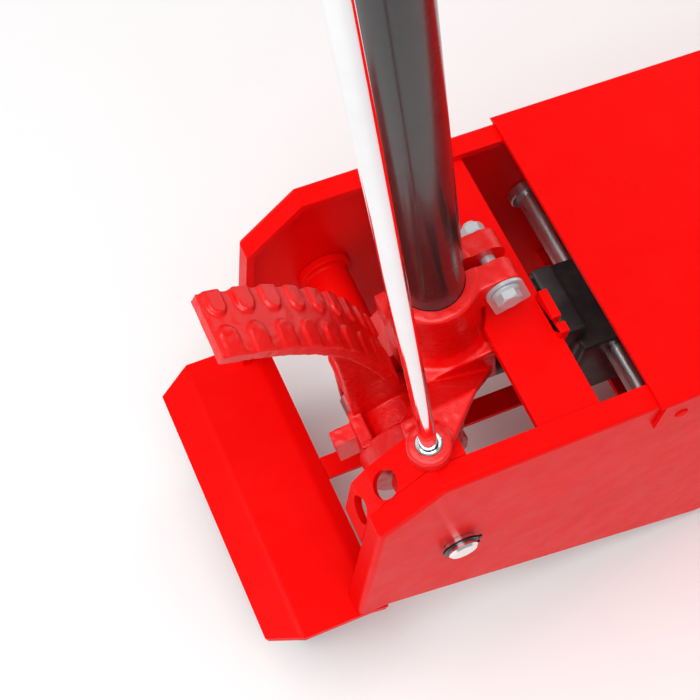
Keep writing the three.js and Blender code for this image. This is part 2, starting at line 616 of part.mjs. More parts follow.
function grip(side) {
  const inner = CROSSBAR_HALF - GRIP_LENGTH;
  const outer = CROSSBAR_HALF + GRIP_WALL + GAP;
  const [lo, hi] = side < 0 ? [-outer, -inner] : [inner, outer];
  const centre = [HANDLE_OFFSET, HANDLE_LENGTH];
  const [boreLo, boreHi] = side < 0 ? [-CROSSBAR_HALF - GAP, 0] : [0, CROSSBAR_HALF + GAP];
  return cut(bar('y', lo, hi, CROSSBAR_R + GRIP_WALL, centre),
    bar('y', boreLo, boreHi, CROSSBAR_R + GAP, centre));
}

function releaseRod() {
  return bar('z', RELEASE_LOW, HANDLE_LENGTH + RELEASE_TOP, RELEASE_R, [HANDLE_OFFSET, 0]);
}

function releaseKnob() {
  const base = HANDLE_LENGTH + CROSSBAR_R + 3;
  const profile = [[0, 0], [16, 0], [21, 5], [21, 20], [17, 25], [0, 26]];
  const bore = bar('z', base - 1, HANDLE_LENGTH + RELEASE_TOP + GAP, RELEASE_R + GAP, [HANDLE_OFFSET, 0]);
  return cut(turned(profile, 'z', [HANDLE_OFFSET, 0, base]), bore);
}

// A plain bush, pressed into the lug with a small gap.
function lockBush() {
  const bore = bar('z', LUG_LOW, LUG_TOP + 2 * BUSH_PROUD, LOCK_ROD_R + PLAY, [0, LOCK_Y]);
  return cut(bar('z', LUG_LOW + 1, LUG_TOP + BUSH_PROUD, BUSH_R, [0, LOCK_Y]), bore);
}

// Drawn up, its foot is inside the bush; let down, it stands in one of the quadrant's holes.
function lockRod() {
  return bar('z', LUG_LOW + 1, LOCK_ROD_TOP, LOCK_ROD_R, [0, LOCK_Y]);
}

function lockKnob() {
  const base = LOCK_ROD_TOP - 12;
  const profile = [[0, 0], [9, 0], [15, 8], [17, 16], [15, 24], [9, 31], [0, 33]];
  const bore = bar('z', base - 1, LOCK_ROD_TOP + GAP, LOCK_ROD_R + GAP, [0, LOCK_Y]);
  return cut(turned(profile, 'z', [0, LOCK_Y, base]), bore);
}

function lockGuide() {
  const [low, high] = [LOCK_GUIDE_AT - 10, LOCK_GUIDE_AT + 10];
  const band = bar('z', low, high, TUBE_R + 5, [HANDLE_OFFSET, 0]);
  const eye = bar('z', low, high, LOCK_ROD_R + 6, [0, LOCK_Y]);
  const web = hull([LOCK_GUIDE_AT - 4, LOCK_GUIDE_AT + 4].flatMap((z) => [
    [HANDLE_OFFSET - 12, -TUBE_R, z], [HANDLE_OFFSET + 8, -TUBE_R, z], [-6, LOCK_Y, z], [6, LOCK_Y, z]]));
  return cut(join(band, eye, web), bar('z', low - 2, high + 2, TUBE_R + GAP, [HANDLE_OFFSET, 0]),
    bar('z', low - 2, high + 2, LOCK_ROD_R + PLAY, [0, LOCK_Y]));
}

// ---------------------------------------------------------------- foot pedal (same frame as the handle)
function pedalTread() {
  const curve = new THREE.SplineCurve(PEDAL_ARC.map(([x, z]) => new THREE.Vector2(x, z)));
  const path = curve.getPoints(14).map((point) => [point.x, point.y]);
  return sheetStrip(path.reverse(), PEDAL_THICK, PEDAL_Y - PEDAL_WIDTH / 2, PEDAL_Y + PEDAL_WIDTH / 2);
}

function footPedal() {
  const barrel = bar('y', PEDAL_NEAR_Y, PEDAL_FAR_Y, PEDAL_BARREL_R, [0, 0]);
  const nearCheek = bar('y', PEDAL_NEAR_Y, PEDAL_NEAR_IN, PEDAL_HUB_R, [0, 0]);
  const rim = [...ringPoints(0, 0, PEDAL_HUB_R - 6), ...PEDAL_CHEEK];
  const farCheek = hull([PEDAL_FAR_IN, PEDAL_FAR_Y].flatMap((y) => rim.map(([x, z]) => [x, y, z])));
  const web = sidePrism(PEDAL_WEB, PEDAL_FAR_IN, PEDAL_FAR_Y);
  const back = box(-PEDAL_HUB_R + 5, -PEDAL_HUB_R + 14, PEDAL_NEAR_IN - 2, PEDAL_FAR_IN + 2, -26, 26);
  const stop = box(-50, -PEDAL_HUB_R + 8, -26, -14, -14, 19);
  return cut(join(barrel, nearCheek, farCheek, web, back, stop, pedalTread()),
    bar('y', PEDAL_NEAR_Y - 1, PEDAL_FAR_Y + 1, AXLE_R + PLAY, [0, 0]));
}

// ---------------------------------------------------------------- hydraulic unit
function hydraulicBlock() {
  const main = box(BLOCK.x0, BLOCK.x1, -BLOCK.y, BLOCK.y, BLOCK.z0, BLOCK.z1);
  const boss = box(BOSS.x0, BLOCK.x0 + 1, -BOSS.y, BOSS.y, BOSS.z0, BOSS.z1);
  const housing = box(BOSS.x0, BLOCK.x1, HOUSING.y0, HOUSING.y1, PUMP_Z - HOUSING.drop, BLOCK.z0 + 1);
  const barrelStart = PUMP_HEAD_X + PUMP_HEAD + PUMP_STROKE + PUMP_CLEAR;
  const barrel = bar('x', barrelStart, BOSS.x0 + 1, PUMP_R + PUMP_WALL, PUMP_AXIS);
  const bolts = [-1, 1].flatMap((side) => [BOSS.z0 + 12, BOSS.z1 - 12].map((z) =>
    hexHead('x', BOSS.x0 - 7, BOSS.x0 + 1, 14, [side * (BOSS.y - 9), z])));
  return cut(join(main, boss, housing, barrel, ...bolts),
    bar('x', barrelStart - 1, BLOCK.x1 - 20, PUMP_R + PLAY, PUMP_AXIS),
    bar('y', -BLOCK.y - 1, BLOCK.y + 1, UNIT_PIN_R + GAP, UNIT_PIN),
    bar('x', BOSS.x0 - 1, BOSS.x0 + 20, VALVE_R + PLAY, VALVE_AT));
}

function releaseValve() {
  const end = BOSS.x0 - 26;
  const stem = bar('x', end, BOSS.x0 + 18, VALVE_R, VALVE_AT);
  return join(stem, hexHead('x', end, end + VALVE_HEX, 20, VALVE_AT));
}

// The pin that carries the unit between the plates, with a welded collar at each end.
function unitPin() {
  const end = INNER - GAP;
  const collars = [[-end, -end + UNIT_COLLAR], [end - UNIT_COLLAR, end]].map(([y0, y1]) =>
    bar('y', y0, y1, UNIT_PIN_R + 5, UNIT_PIN));
  return join(bar('y', -end, end, UNIT_PIN_R, UNIT_PIN), ...collars);
}

function pumpPlunger() {
  const rodEnd = PUMP_HEAD_X + PUMP_HEAD + PUMP_STROKE + 16;
  return join(bar('x', PUMP_HEAD_X, PUMP_HEAD_X + PUMP_HEAD, PUMP_HEAD_R, PUMP_AXIS),
    bar('x', PUMP_HEAD_X + 1, rodEnd, PUMP_R, PUMP_AXIS));
}

function reservoir() {
  const start = BLOCK.x1 + GAP;
  const body = join(bar('x', start, RESERVOIR_END - GLAND, RESERVOIR_R, RAM_AXIS),
    bar('x', RESERVOIR_END - GLAND - 1, RESERVOIR_END, RESERVOIR_R - 12, RAM_AXIS),
    bar('x', start, start + 14, RESERVOIR_R + RESERVOIR_RIM, RAM_AXIS));
  return cut(body, bar('x', RESERVOIR_END - RAM_INSERT - 10, RESERVOIR_END + 1, RAM_R + PLAY, RAM_AXIS));
}

function ram() {
  return bar('x', RESERVOIR_END - RAM_INSERT, THRUST_X - CROSSHEAD_HALF - GAP, RAM_R, RAM_AXIS);
}

function crosshead() {
  const half = ARM_GAP - 4;
  const high = THRUST_ARM * (1 - Math.cos(ARM_SWING / 2)) / 2 + THRUST_R + 1;
  const reach = high + 12;
  const body = box(THRUST_X - CROSSHEAD_HALF, THRUST_X + CROSSHEAD_HALF, -half, half,
    RAM_Z - reach, RAM_Z + reach);
  const slot = box(THRUST_X - THRUST_R - 1.2, THRUST_X + THRUST_R + 1.2, -half - 1, half + 1,
    RAM_Z - high, RAM_Z + high);
  return cut(body, slot);
}

// ---------------------------------------------------------------- lift arm (x along the arm from its shaft)
function liftArm() {
  const cheek = (y0, y1) => join(
    linkBar([0, 0], [70, 2], 45, 44, y0, y1), linkBar([70, 2], [ARM_LENGTH, 0], 44, 24, y0, y1),
    linkBar([0, 0], THRUST_AT, 40, 24, y0, y1));
  const sides = join(cheek(-ARM_OUTER, -ARM_GAP), cheek(ARM_GAP, ARM_OUTER));
  const lid = box(75, ARM_LENGTH - 92, -ARM_GAP - 2, ARM_GAP + 2, 18, 26);
  const bore = bar('y', -ARM_OUTER, ARM_OUTER, 30, [0, 0]);
  return cut(join(sides, lid, bore),
    bar('y', -ARM_OUTER - 1, ARM_OUTER + 1, ARM_SHAFT_R + PLAY, [0, 0]),
    bar('y', -ARM_OUTER - 1, ARM_OUTER + 1, THRUST_R + GAP, THRUST_AT),
    bar('y', -ARM_OUTER - 1, ARM_OUTER + 1, SADDLE_PIN_R + PLAY, [ARM_LENGTH, 0]));
}

function saddlePin() {
  return bar('y', -ARM_OUTER - 3, ARM_OUTER + 3, SADDLE_PIN_R, [ARM_LENGTH, 0]);
}

function thrustPin() {
  return bar('y', -ARM_OUTER - 2, ARM_OUTER + 2, THRUST_R, THRUST_AT);
}

function tieRod() {
  const from = [PIVOT[0], PIVOT[1] - TIE_DROP];
  const to = [SADDLE_X, SADDLE_Z - TIE_DROP];
  const [y0, y1] = [TIE_Y - TIE_THICK / 2, TIE_Y + TIE_THICK / 2];
  const rod = join(linkBar(from, to, 9, 9, y0, y1), bar('y', y0, y1, 15, from), bar('y', y0, y1, 15, to));
  return cut(rod, bar('y', y0 - 1, y1 + 1, TIE_PIN_R + PLAY, from),
    bar('y', y0 - 1, y1 + 1, TIE_PIN_R + PLAY, to));
}

function tieAnchor() {
  const centre = [PIVOT[0], PIVOT[1] - TIE_DROP];
  const inner = TIE_Y + TIE_THICK / 2 + 3;
  return join(bar('y', -INNER + GAP, inner, TIE_PIN_R, centre),
    bar('y', -INNER + GAP, TIE_Y - TIE_THICK / 2 - 1, TIE_PIN_R + 6, centre));
}

function saddleBracket() {
  const half = ARM_GAP - 8;
  const ear = 9;
  const at = [SADDLE_X, SADDLE_Z];
  const tie = [SADDLE_X, SADDLE_Z - TIE_DROP];
  const ears = [[-half, -half + ear], [half - ear, half]].map(([y0, y1]) => linkBar(at, tie, 24, 15, y0, y1));
  const top = box(SADDLE_X - 30, SADDLE_X + 30, -half, half, SADDLE_Z + 20, SADDLE_Z + SADDLE_RISE - GAP);
  const pin = bar('y', TIE_Y - TIE_THICK / 2 - 3, half, TIE_PIN_R, tie);
  return cut(join(...ears, top, pin), bar('y', -half - 1, half + 1, SADDLE_PIN_R + PLAY, at));
}

function saddle() {
  const low = SADDLE_Z + SADDLE_RISE;
  const dish = turned([[0, 0], [SADDLE_R - 6, 0], [SADDLE_R, 5], [SADDLE_R, SADDLE_THICK],
    [SADDLE_R - 7, SADDLE_THICK], [SADDLE_R - 9, SADDLE_THICK - 4], [0, SADDLE_THICK - 4]],
  'z', [SADDLE_X, 0, low]);
  const notches = [0, 1].map((i) => {
    const span = SADDLE_R + CUT_OVER;
    const wide = 9;
    const z0 = low + SADDLE_THICK - 4;
    return i === 0 ? box(SADDLE_X - span, SADDLE_X + span, -wide, wide, z0, z0 + 8)
      : box(SADDLE_X - wide, SADDLE_X + wide, -span, span, z0, z0 + 8);
  });
  return cut(dish, ...notches);
}

function saddlePad() {
  const low = SADDLE_Z + SADDLE_RISE + SADDLE_THICK - 4 + GAP;
  return bar('z', low, low + PAD_THICK, SADDLE_R - 11, [SADDLE_X, 0]);
}

// ---------------------------------------------------------------- wheels
function frontWheel(side) {
  const inner = HALF + WHEEL_OUT;
  const [lo, hi] = side < 0 ? [-inner - WHEEL_W, -inner] : [inner, inner + WHEEL_W];
  const tyre = bar('y', lo, hi, WHEEL_R, FRONT_AXLE_AT, 36);
  const dishes = [[lo - 1, lo + DISH], [hi - DISH, hi + 1]].map(([a, b]) =>
    cut(bar('y', a, b, WHEEL_R - 16, FRONT_AXLE_AT),
      bar('y', a - 1, b + 1, FRONT_AXLE_R + 12, FRONT_AXLE_AT)));
  return cut(tyre, ...dishes, bar('y', lo - 1, hi + 1, FRONT_AXLE_R + PLAY, FRONT_AXLE_AT));
}

function frontAxle() {
  const end = HALF + WHEEL_OUT + WHEEL_W + 6;
  return bar('y', -end, end, FRONT_AXLE_R, FRONT_AXLE_AT);
}

function wheelCap(side) {
  const inner = HALF + WHEEL_OUT + WHEEL_W + GAP;
  const [lo, hi] = side < 0 ? [-inner - 8, -inner] : [inner, inner + 8];
  const [boreLo, boreHi] = side < 0 ? [lo + 2, hi + 1] : [lo - 1, hi - 2];
  return cut(bar('y', lo, hi, FRONT_AXLE_R + 6, FRONT_AXLE_AT),
    bar('y', boreLo, boreHi, FRONT_AXLE_R + GAP, FRONT_AXLE_AT));
}

// A caster hangs from its kingpin at x = y = 0; the wheel trails along -y.
function casterFork() {
  const top = CASTER_TOP_Z - PLATE - CASTER_BOSS - GAP;
  const low = top - RACE_THICK;
  const race = bar('z', low, top, RACE_R, [0, 0]);
  const legX = CASTER_WHEEL_W / 2 + 2.5;
  const deck = box(-legX - FORK_PLATE, legX + FORK_PLATE, -34, 22, low - FORK_PLATE, low + 1);
  const leg = (x) => hull([x, x + FORK_PLATE].flatMap((px) => [[px, -34, low], [px, 18, low],
    [px, -CASTER_TRAIL - 13, CASTER_WHEEL_Z - 8], [px, -CASTER_TRAIL + 13, CASTER_WHEEL_Z - 8]]));
  const kingpin = bar('z', low, top + CASTER_BOSS, KINGPIN_R, [0, 0]);
  return cut(join(race, deck, leg(legX), leg(-legX - FORK_PLATE), kingpin),
    bar('x', -60, 60, CASTER_AXLE_R + GAP, [-CASTER_TRAIL, CASTER_WHEEL_Z]));
}

function casterWheel() {
  const half = CASTER_WHEEL_W / 2;
  const centre = [-CASTER_TRAIL, CASTER_WHEEL_Z];
  const body = bar('x', -half, half, CASTER_WHEEL_R, centre, 32);
  const dishes = [[-half - 1, -half + 5], [half - 5, half + 1]].map(([a, b]) =>
    cut(bar('x', a, b, CASTER_WHEEL_R - 12, centre), bar('x', a - 1, b + 1, 13, centre)));
  return cut(body, ...dishes, bar('x', -half - 1, half + 1, CASTER_AXLE_R + PLAY, centre));
}

function casterAxle() {
  const centre = [-CASTER_TRAIL, CASTER_WHEEL_Z];
  const face = CASTER_WHEEL_W / 2 + 2.5 + FORK_PLATE + GAP;
  return join(bar('x', -face - 2, face + 2, CASTER_AXLE_R, centre),
    hexHead('x', -face - 6, -face, 17, centre), hexHead('x', face, face + 6, 17, centre));
}

// ---------------------------------------------------------------- assembly
function addChassis(group) {
  for (const [side, hand] of [[-1, 'left'], [1, 'right']]) {
    place(group, `side_plate_${hand}`, sidePlate(side), redPaint);
    place(group, `axle_circlip_${hand}`, circlip(side), blackSteel);
    place(group, `cover_screw_${hand}`, coverScrew(side), redPaint);
  }
  place(group, 'lock_quadrant', lockQuadrant(), redPaint);
  place(group, 'caster_plate', casterPlate(), redPaint);
  place(group, 'centre_strut', centreStrut(), redPaint);
  place(group, 'cross_plate', crossPlate(), redPaint);
  place(group, 'top_cover', topCover(), redPaint);
  place(group, 'front_tie_plate', frontTie(), redPaint);
  place(group, 'handle_axle', handleAxle(), chrome);
  place(group, 'axle_spacer', axleSpacer(), redPaint);
  place(group, 'torsion_spring', torsionSpring(), blackSteel);
  place(group, 'arm_shaft', bar('y', -HALF - 6, HALF + 6, ARM_SHAFT_R, PIVOT), steel);
  place(group, 'tie_rod_anchor', tieAnchor(), steel);
  place(group, 'front_axle', frontAxle(), steel);
  place(group, 'hydraulic_block', hydraulicBlock(), darkIron);
  place(group, 'unit_pin', unitPin(), steel);
  place(group, 'reservoir', reservoir(), blackPaint);
}

function addHydraulics(group) {
  place(group, 'release_valve', releaseValve(), brass);
  place(group, 'pump_plunger', pumpPlunger(), chrome);
  place(group, 'ram', ram(), chrome);
  place(group, 'crosshead', crosshead(), darkIron);
}

function addHandle(group) {
  const handle = new THREE.Group();
  handle.rotation.y = -HANDLE_LEAN;
  group.add(handle);
  place(handle, 'handle_socket', handleSocket(), castRed);
  place(handle, 'clamp_bolt', clampBolt(), zinc);
  place(handle, 'clamp_nut', clampNut(), zinc);
  place(handle, 'clamp_lock_tab', lockTab(), zinc);
  place(handle, 'pump_roller_pin', rollerPin(), steel);
  place(handle, 'pump_roller', pumpRoller(), steel);
  place(handle, 'handle_tube', handleTube(), blackPaint);
  place(handle, 'handle_crossbar', crossbar(), blackPaint);
  place(handle, 'grip_left', grip(-1), rubber);
  place(handle, 'grip_right', grip(1), rubber);
  place(handle, 'release_rod', releaseRod(), steel);
  place(handle, 'release_knob', releaseKnob(), rubber);
  place(handle, 'lock_rod_guide', lockGuide(), blackPaint);
  place(handle, 'lock_bush', lockBush(), chrome);
  place(handle, 'lock_rod', lockRod(), chrome);
  place(handle, 'lock_knob', lockKnob(), rubber);
  place(handle, 'foot_pedal', footPedal(), castRed);
}

function addArm(group) {
  const arm = new THREE.Group();
  arm.position.set(PIVOT[0], 0, PIVOT[1]);
  arm.rotation.y = ARM_DROOP;
  group.add(arm);
  place(arm, 'lift_arm', liftArm(), redPaint);
  place(arm, 'thrust_pin', thrustPin(), steel);
  place(arm, 'saddle_pin', saddlePin(), steel);
  place(group, 'tie_rod', tieRod(), redPaint);
  place(group, 'saddle_bracket', saddleBracket(), redPaint);
  place(group, 'saddle', saddle(), steel);
  place(group, 'saddle_pad', saddlePad(), rubber);
}

function addWheels(group) {
  for (const [side, hand] of [[-1, 'left'], [1, 'right']]) {
    place(group, `front_wheel_${hand}`, frontWheel(side), steel);
    place(group, `wheel_cap_${hand}`, wheelCap(side), zinc);
    const caster = new THREE.Group();
    caster.position.set(CASTER_X, side * CASTER_Y, 0);
    caster.rotation.z = side < 0 ? Math.PI : 0;
    group.add(caster);
    place(caster, `caster_fork_${hand}`, casterFork(), redPaint);
    place(caster, `caster_wheel_${hand}`, casterWheel(), steel);
    place(caster, `caster_axle_${hand}`, casterAxle(), zinc);
  }
}

function buildJack() {
  const jack = new THREE.Group();
  addChassis(jack);
  addHydraulics(jack);
  addHandle(jack);
  addArm(jack);
  addWheels(jack);
  const extent = new THREE.Box3().setFromObject(jack, true);
  jack.position.set(-(extent.min.x + extent.max.x) / 2, -(extent.min.y + extent.max.y) / 2, -extent.min.z);
  return jack;
}

const whole = new THREE.Group();
whole.add(buildJack());
whole.updateMatrixWorld(true);
export default whole;
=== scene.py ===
"""Long-chassis trolley jack: finished surfaces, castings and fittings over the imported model.

Lengths inside the makers are millimetres from the handle axle: x forward, y to the right-hand
plate, z up. A piece of the handle is made with x ahead of the handle line and z along it.
"""

import json
import math

import bmesh
import bpy
from mathutils import Matrix, Vector, noise


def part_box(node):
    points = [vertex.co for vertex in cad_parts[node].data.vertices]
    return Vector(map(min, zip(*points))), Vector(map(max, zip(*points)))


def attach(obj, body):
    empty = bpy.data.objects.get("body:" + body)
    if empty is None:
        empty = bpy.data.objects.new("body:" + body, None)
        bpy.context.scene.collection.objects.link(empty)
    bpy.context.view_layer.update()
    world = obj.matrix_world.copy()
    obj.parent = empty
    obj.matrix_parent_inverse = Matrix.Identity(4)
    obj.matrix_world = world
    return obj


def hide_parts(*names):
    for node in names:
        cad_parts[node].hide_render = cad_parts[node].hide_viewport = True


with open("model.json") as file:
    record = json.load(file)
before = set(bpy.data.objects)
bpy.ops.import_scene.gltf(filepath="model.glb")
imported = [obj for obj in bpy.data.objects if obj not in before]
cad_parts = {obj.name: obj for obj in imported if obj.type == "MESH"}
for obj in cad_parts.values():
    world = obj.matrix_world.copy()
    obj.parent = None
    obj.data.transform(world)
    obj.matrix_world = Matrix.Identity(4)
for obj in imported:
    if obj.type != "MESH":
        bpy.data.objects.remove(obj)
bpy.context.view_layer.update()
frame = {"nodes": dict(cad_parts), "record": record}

# ------------------------------------------------------------------ sizes
MM = 0.001
LEAN = math.radians(12.5)  # the handle leans back
EASE = 0.6  # rounding of a plain edge
CAMERA_AT = (-278.37, -369.94, 926.11)  # from the handle axle
CAMERA_RIGHT = (0.90944, -0.40767, 0.08195)
CAMERA_AHEAD = (0.25627, 0.39429, -0.88253)
CAMERA_LENS = 73.46

BODY_OF = {n: b for b, names in frame["record"]["behaviour"]["bodies"].items() for n in names}
SLOT_OF = {row["node"]: row["material_slot"] for row in frame["record"]["subparts"]}


def middle(node):
    low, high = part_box(node)
    return (low + high) / 2


AXLE = middle("handle_axle")


def place_of(node):
    """A node's middle, as x and z in millimetres from the handle axle."""
    at = middle(node)
    return at.x / MM - AXLE.x / MM, at.z / MM - AXLE.z / MM


AXLE_AT = Matrix.Translation(AXLE) @ Matrix.Scale(MM, 4)
HANDLE_AT = AXLE_AT @ Matrix.Rotation(-LEAN, 4, "Y")


def span(node):
    """Lowest and highest corner of a node in millimetres from the handle axle."""
    low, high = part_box(node)
    return (low - AXLE) / MM, (high - AXLE) / MM


# ------------------------------------------------------------------ shader groups
def new_group(name, inputs, outputs):
    group = bpy.data.node_groups.new(name, "ShaderNodeTree")
    for label, kind, value in inputs:
        socket = group.interface.new_socket(label, in_out="INPUT", socket_type=kind)
        socket.default_value = value
    for label, kind in outputs:
        group.interface.new_socket(label, in_out="OUTPUT", socket_type=kind)
    return group, group.nodes.new("NodeGroupInput"), group.nodes.new("NodeGroupOutput")


def node(tree, kind, links=(), **settings):
    """A shader node with its settings; links are (input, source socket or value)."""
    made = tree.nodes.new(kind)
    for key, value in settings.items():
        setattr(made, key, value)
    for label, source in links:
        if isinstance(source, bpy.types.NodeSocket):
            tree.links.new(source, made.inputs[label])
        else:
            made.inputs[label].default_value = source
    return made


def noise_value(tree, scale, detail=4.0, roughness=0.55):
    coords = node(tree, "ShaderNodeTexCoord").outputs["Object"]
    links = [("Vector", coords), ("Scale", scale), ("Detail", detail), ("Roughness", roughness)]
    return node(tree, "ShaderNodeTexNoise", links).outputs["Fac"]


def remap(tree, value, low, high, to_low=0.0, to_high=1.0):
    links = [("Value", value), ("From Min", low), ("From Max", high), ("To Min", to_low), ("To Max", to_high)]
    return node(tree, "ShaderNodeMapRange", links, clamp=True).outputs["Result"]


def mixed(tree, share, first, second):
    made = node(tree, "ShaderNodeMix", data_type="RGBA")
    for index, value in ((0, share), (6, first), (7, second)):
        if isinstance(value, bpy.types.NodeSocket):
            tree.links.new(value, made.inputs[index])
        else:
            made.inputs[index].default_value = value
    return made.outputs[2]


def math_node(tree, operation, first, second):
    return node(tree, "ShaderNodeMath", [(0, first), (1, second)], operation=operation).outputs[0]


def make_mottle_group():
    """Slow drift of tone over a surface, and the roughness that goes with it."""
    group, ins, outs = new_group(
        "mottle",
        [("Tone", "NodeSocketColor", (0.8, 0.8, 0.8, 1)), ("Shade", "NodeSocketColor", (0.4, 0.4, 0.4, 1)),
         ("Scale", "NodeSocketFloat", 12.0), ("Rough Low", "NodeSocketFloat", 0.25),
         ("Rough High", "NodeSocketFloat", 0.4)],
        [("Color", "NodeSocketColor"), ("Roughness", "NodeSocketFloat")],
    )
    drift = remap(group, noise_value(group, ins.outputs["Scale"], 6.0, 0.6), 0.3, 0.72)
    smear = noise_value(group, math_node(group, "MULTIPLY", ins.outputs["Scale"], 9.0), 3.0)
    rough = node(group, "ShaderNodeMapRange", [
        ("Value", smear), ("From Min", 0.3), ("From Max", 0.7),
        ("To Min", ins.outputs["Rough Low"]), ("To Max", ins.outputs["Rough High"])])
    group.links.new(mixed(group, drift, ins.outputs["Tone"], ins.outputs["Shade"]), outs.inputs["Color"])
    group.links.new(rough.outputs["Result"], outs.inputs["Roughness"])
    return group


def make_edge_group():
    """Lighter colour on the outer edges of a piece: real wear on the black and grey finishes, and a painted highlight
    on the red paints, whose edge colour is a brighter red.
    """
    group, ins, outs = new_group(
        "edge_wear_and_highlight",
        [("Color", "NodeSocketColor", (1, 1, 1, 1)), ("Wear And Highlight", "NodeSocketColor", (1, 1, 1, 1)),
         ("Amount", "NodeSocketFloat", 0.5), ("Grain", "NodeSocketFloat", 180.0)],
        [("Color", "NodeSocketColor")],
    )
    point = node(group, "ShaderNodeNewGeometry").outputs["Pointiness"]
    edge = remap(group, point, 0.53, 0.62)
    broken = remap(group, noise_value(group, ins.outputs["Grain"], 3.0), 0.35, 0.7)
    mask = math_node(group, "MULTIPLY", math_node(group, "MULTIPLY", edge, broken), ins.outputs["Amount"])
    group.links.new(mixed(group, mask, ins.outputs["Color"], ins.outputs["Wear And Highlight"]), outs.inputs["Color"])
    return group


def make_grain_group():
    """Height of a sand-cast or orange-peel skin: a fine grain and a slow wave under it."""
    group, ins, outs = new_group(
        "skin_grain",
        [("Fine", "NodeSocketFloat", 900.0), ("Wave", "NodeSocketFloat", 160.0), ("Share", "NodeSocketFloat", 0.5)],
        [("Height", "NodeSocketFloat")],
    )
    fine = noise_value(group, ins.outputs["Fine"], 2.0)
    wave = noise_value(group, ins.outputs["Wave"], 2.0)
    blend = node(group, "ShaderNodeMix", [("Factor", ins.outputs["Share"]), ("A", fine), ("B", wave)])
    group.links.new(blend.outputs["Result"], outs.inputs["Height"])
    return group


def make_brush_group():
    """Fine lines left by turning or grinding, along the direction that Stretch leaves long."""
    group, ins, outs = new_group(
        "brush_lines",
        [("Stretch", "NodeSocketVector", (1.0, 1.0, 1.0)), ("Scale", "NodeSocketFloat", 900.0),
         ("Rough Low", "NodeSocketFloat", 0.2), ("Rough High", "NodeSocketFloat", 0.4)],
        [("Height", "NodeSocketFloat"), ("Roughness", "NodeSocketFloat")],
    )
    coords = node(group, "ShaderNodeTexCoord").outputs["Object"]
    held = node(group, "ShaderNodeVectorMath", [(0, coords), (1, ins.outputs["Stretch"])], operation="MULTIPLY")
    lines = node(group, "ShaderNodeTexNoise", [
        ("Vector", held.outputs["Vector"]), ("Scale", ins.outputs["Scale"]), ("Detail", 3.0)]).outputs["Fac"]
    rough = node(group, "ShaderNodeMapRange", [
        ("Value", lines), ("From Min", 0.3), ("From Max", 0.7),
        ("To Min", ins.outputs["Rough Low"]), ("To Max", ins.outputs["Rough High"])])
    group.links.new(lines, outs.inputs["Height"])
    group.links.new(rough.outputs["Result"], outs.inputs["Roughness"])
    return group


def make_dust_group():
    """A thin film of dust, in patches, on faces that look up."""
    group, ins, outs = new_group(
        "settled_dust",
        [("Color", "NodeSocketColor", (1, 1, 1, 1)), ("Roughness", "NodeSocketFloat", 0.4),
         ("Dust", "NodeSocketColor", (0.3, 0.28, 0.26, 1)), ("Amount", "NodeSocketFloat", 0.2)],
        [("Color", "NodeSocketColor"), ("Roughness", "NodeSocketFloat")],
    )
    normal = node(group, "ShaderNodeNewGeometry").outputs["Normal"]
    up = node(group, "ShaderNodeSeparateXYZ", [("Vector", normal)]).outputs["Z"]
    patch = remap(group, noise_value(group, 35.0, 5.0, 0.65), 0.42, 0.75)
    mask = math_node(group, "MULTIPLY", math_node(group, "MULTIPLY", remap(group, up, 0.2, 1.0), patch),
                     ins.outputs["Amount"])
    group.links.new(mixed(group, mask, ins.outputs["Color"], ins.outputs["Dust"]), outs.inputs["Color"])
    rough = node(group, "ShaderNodeMapRange", [
        ("Value", mask), ("From Min", 0.0), ("From Max", 1.0), ("To Min", ins.outputs["Roughness"]), ("To Max", 0.8)])
    group.links.new(rough.outputs["Result"], outs.inputs["Roughness"])
    return group


MOTTLE = make_mottle_group()
EDGE_WEAR_AND_HIGHLIGHT = make_edge_group()
SKIN_GRAIN = make_grain_group()
BRUSH_LINES = make_brush_group()
SETTLED_DUST = make_dust_group()


# ------------------------------------------------------------------ materials
def placed(tree, group, links):
    return node(tree, "ShaderNodeGroup", links, node_tree=group)


def start_material(name, **settings):
    material = bpy.data.materials.new(name)
    material.use_nodes = True
    tree = material.node_tree
    shader = tree.nodes["Principled BSDF"]
    for label, value in settings.items():
        shader.inputs[label.replace("_", " ")].default_value = value
    return material, tree, shader


def add_bump(tree, shader, height, strength, distance):
    bump = node(tree, "ShaderNodeBump", [("Height", height), ("Strength", strength), ("Distance", distance)])
    tree.links.new(bump.outputs["Normal"], shader.inputs["Normal"])


def painted(name, tone, shade, wear_and_highlight, rough, peel, bump, coat=0.6, dust=0.12, specular=0.5):
    """Paint over metal: mottled tone, a lighter edge colour (real wear on dark paints, a painted highlight on red
    ones), a little dust and an orange-peel skin.
    """
    material, tree, shader = start_material(name, Specular_IOR_Level=specular, Coat_Weight=coat, Coat_Roughness=0.12)
    mottle = placed(tree, MOTTLE, [
        ("Tone", tone), ("Shade", shade), ("Scale", 7.0), ("Rough Low", rough[0]), ("Rough High", rough[1])])
    edge = placed(tree, EDGE_WEAR_AND_HIGHLIGHT, [
        ("Color", mottle.outputs["Color"]), ("Wear And Highlight", wear_and_highlight), ("Amount", 0.5), ("Grain", 240.0)])
    film = placed(tree, SETTLED_DUST, [
        ("Color", edge.outputs["Color"]), ("Roughness", mottle.outputs["Roughness"]), ("Amount", dust)])
    tree.links.new(film.outputs["Color"], shader.inputs["Base Color"])
    tree.links.new(film.outputs["Roughness"], shader.inputs["Roughness"])
    skin = placed(tree, SKIN_GRAIN, [("Fine", peel[0]), ("Wave", peel[1]), ("Share", peel[2])])
    add_bump(tree, shader, skin.outputs["Height"], bump, 0.0006)
    return material


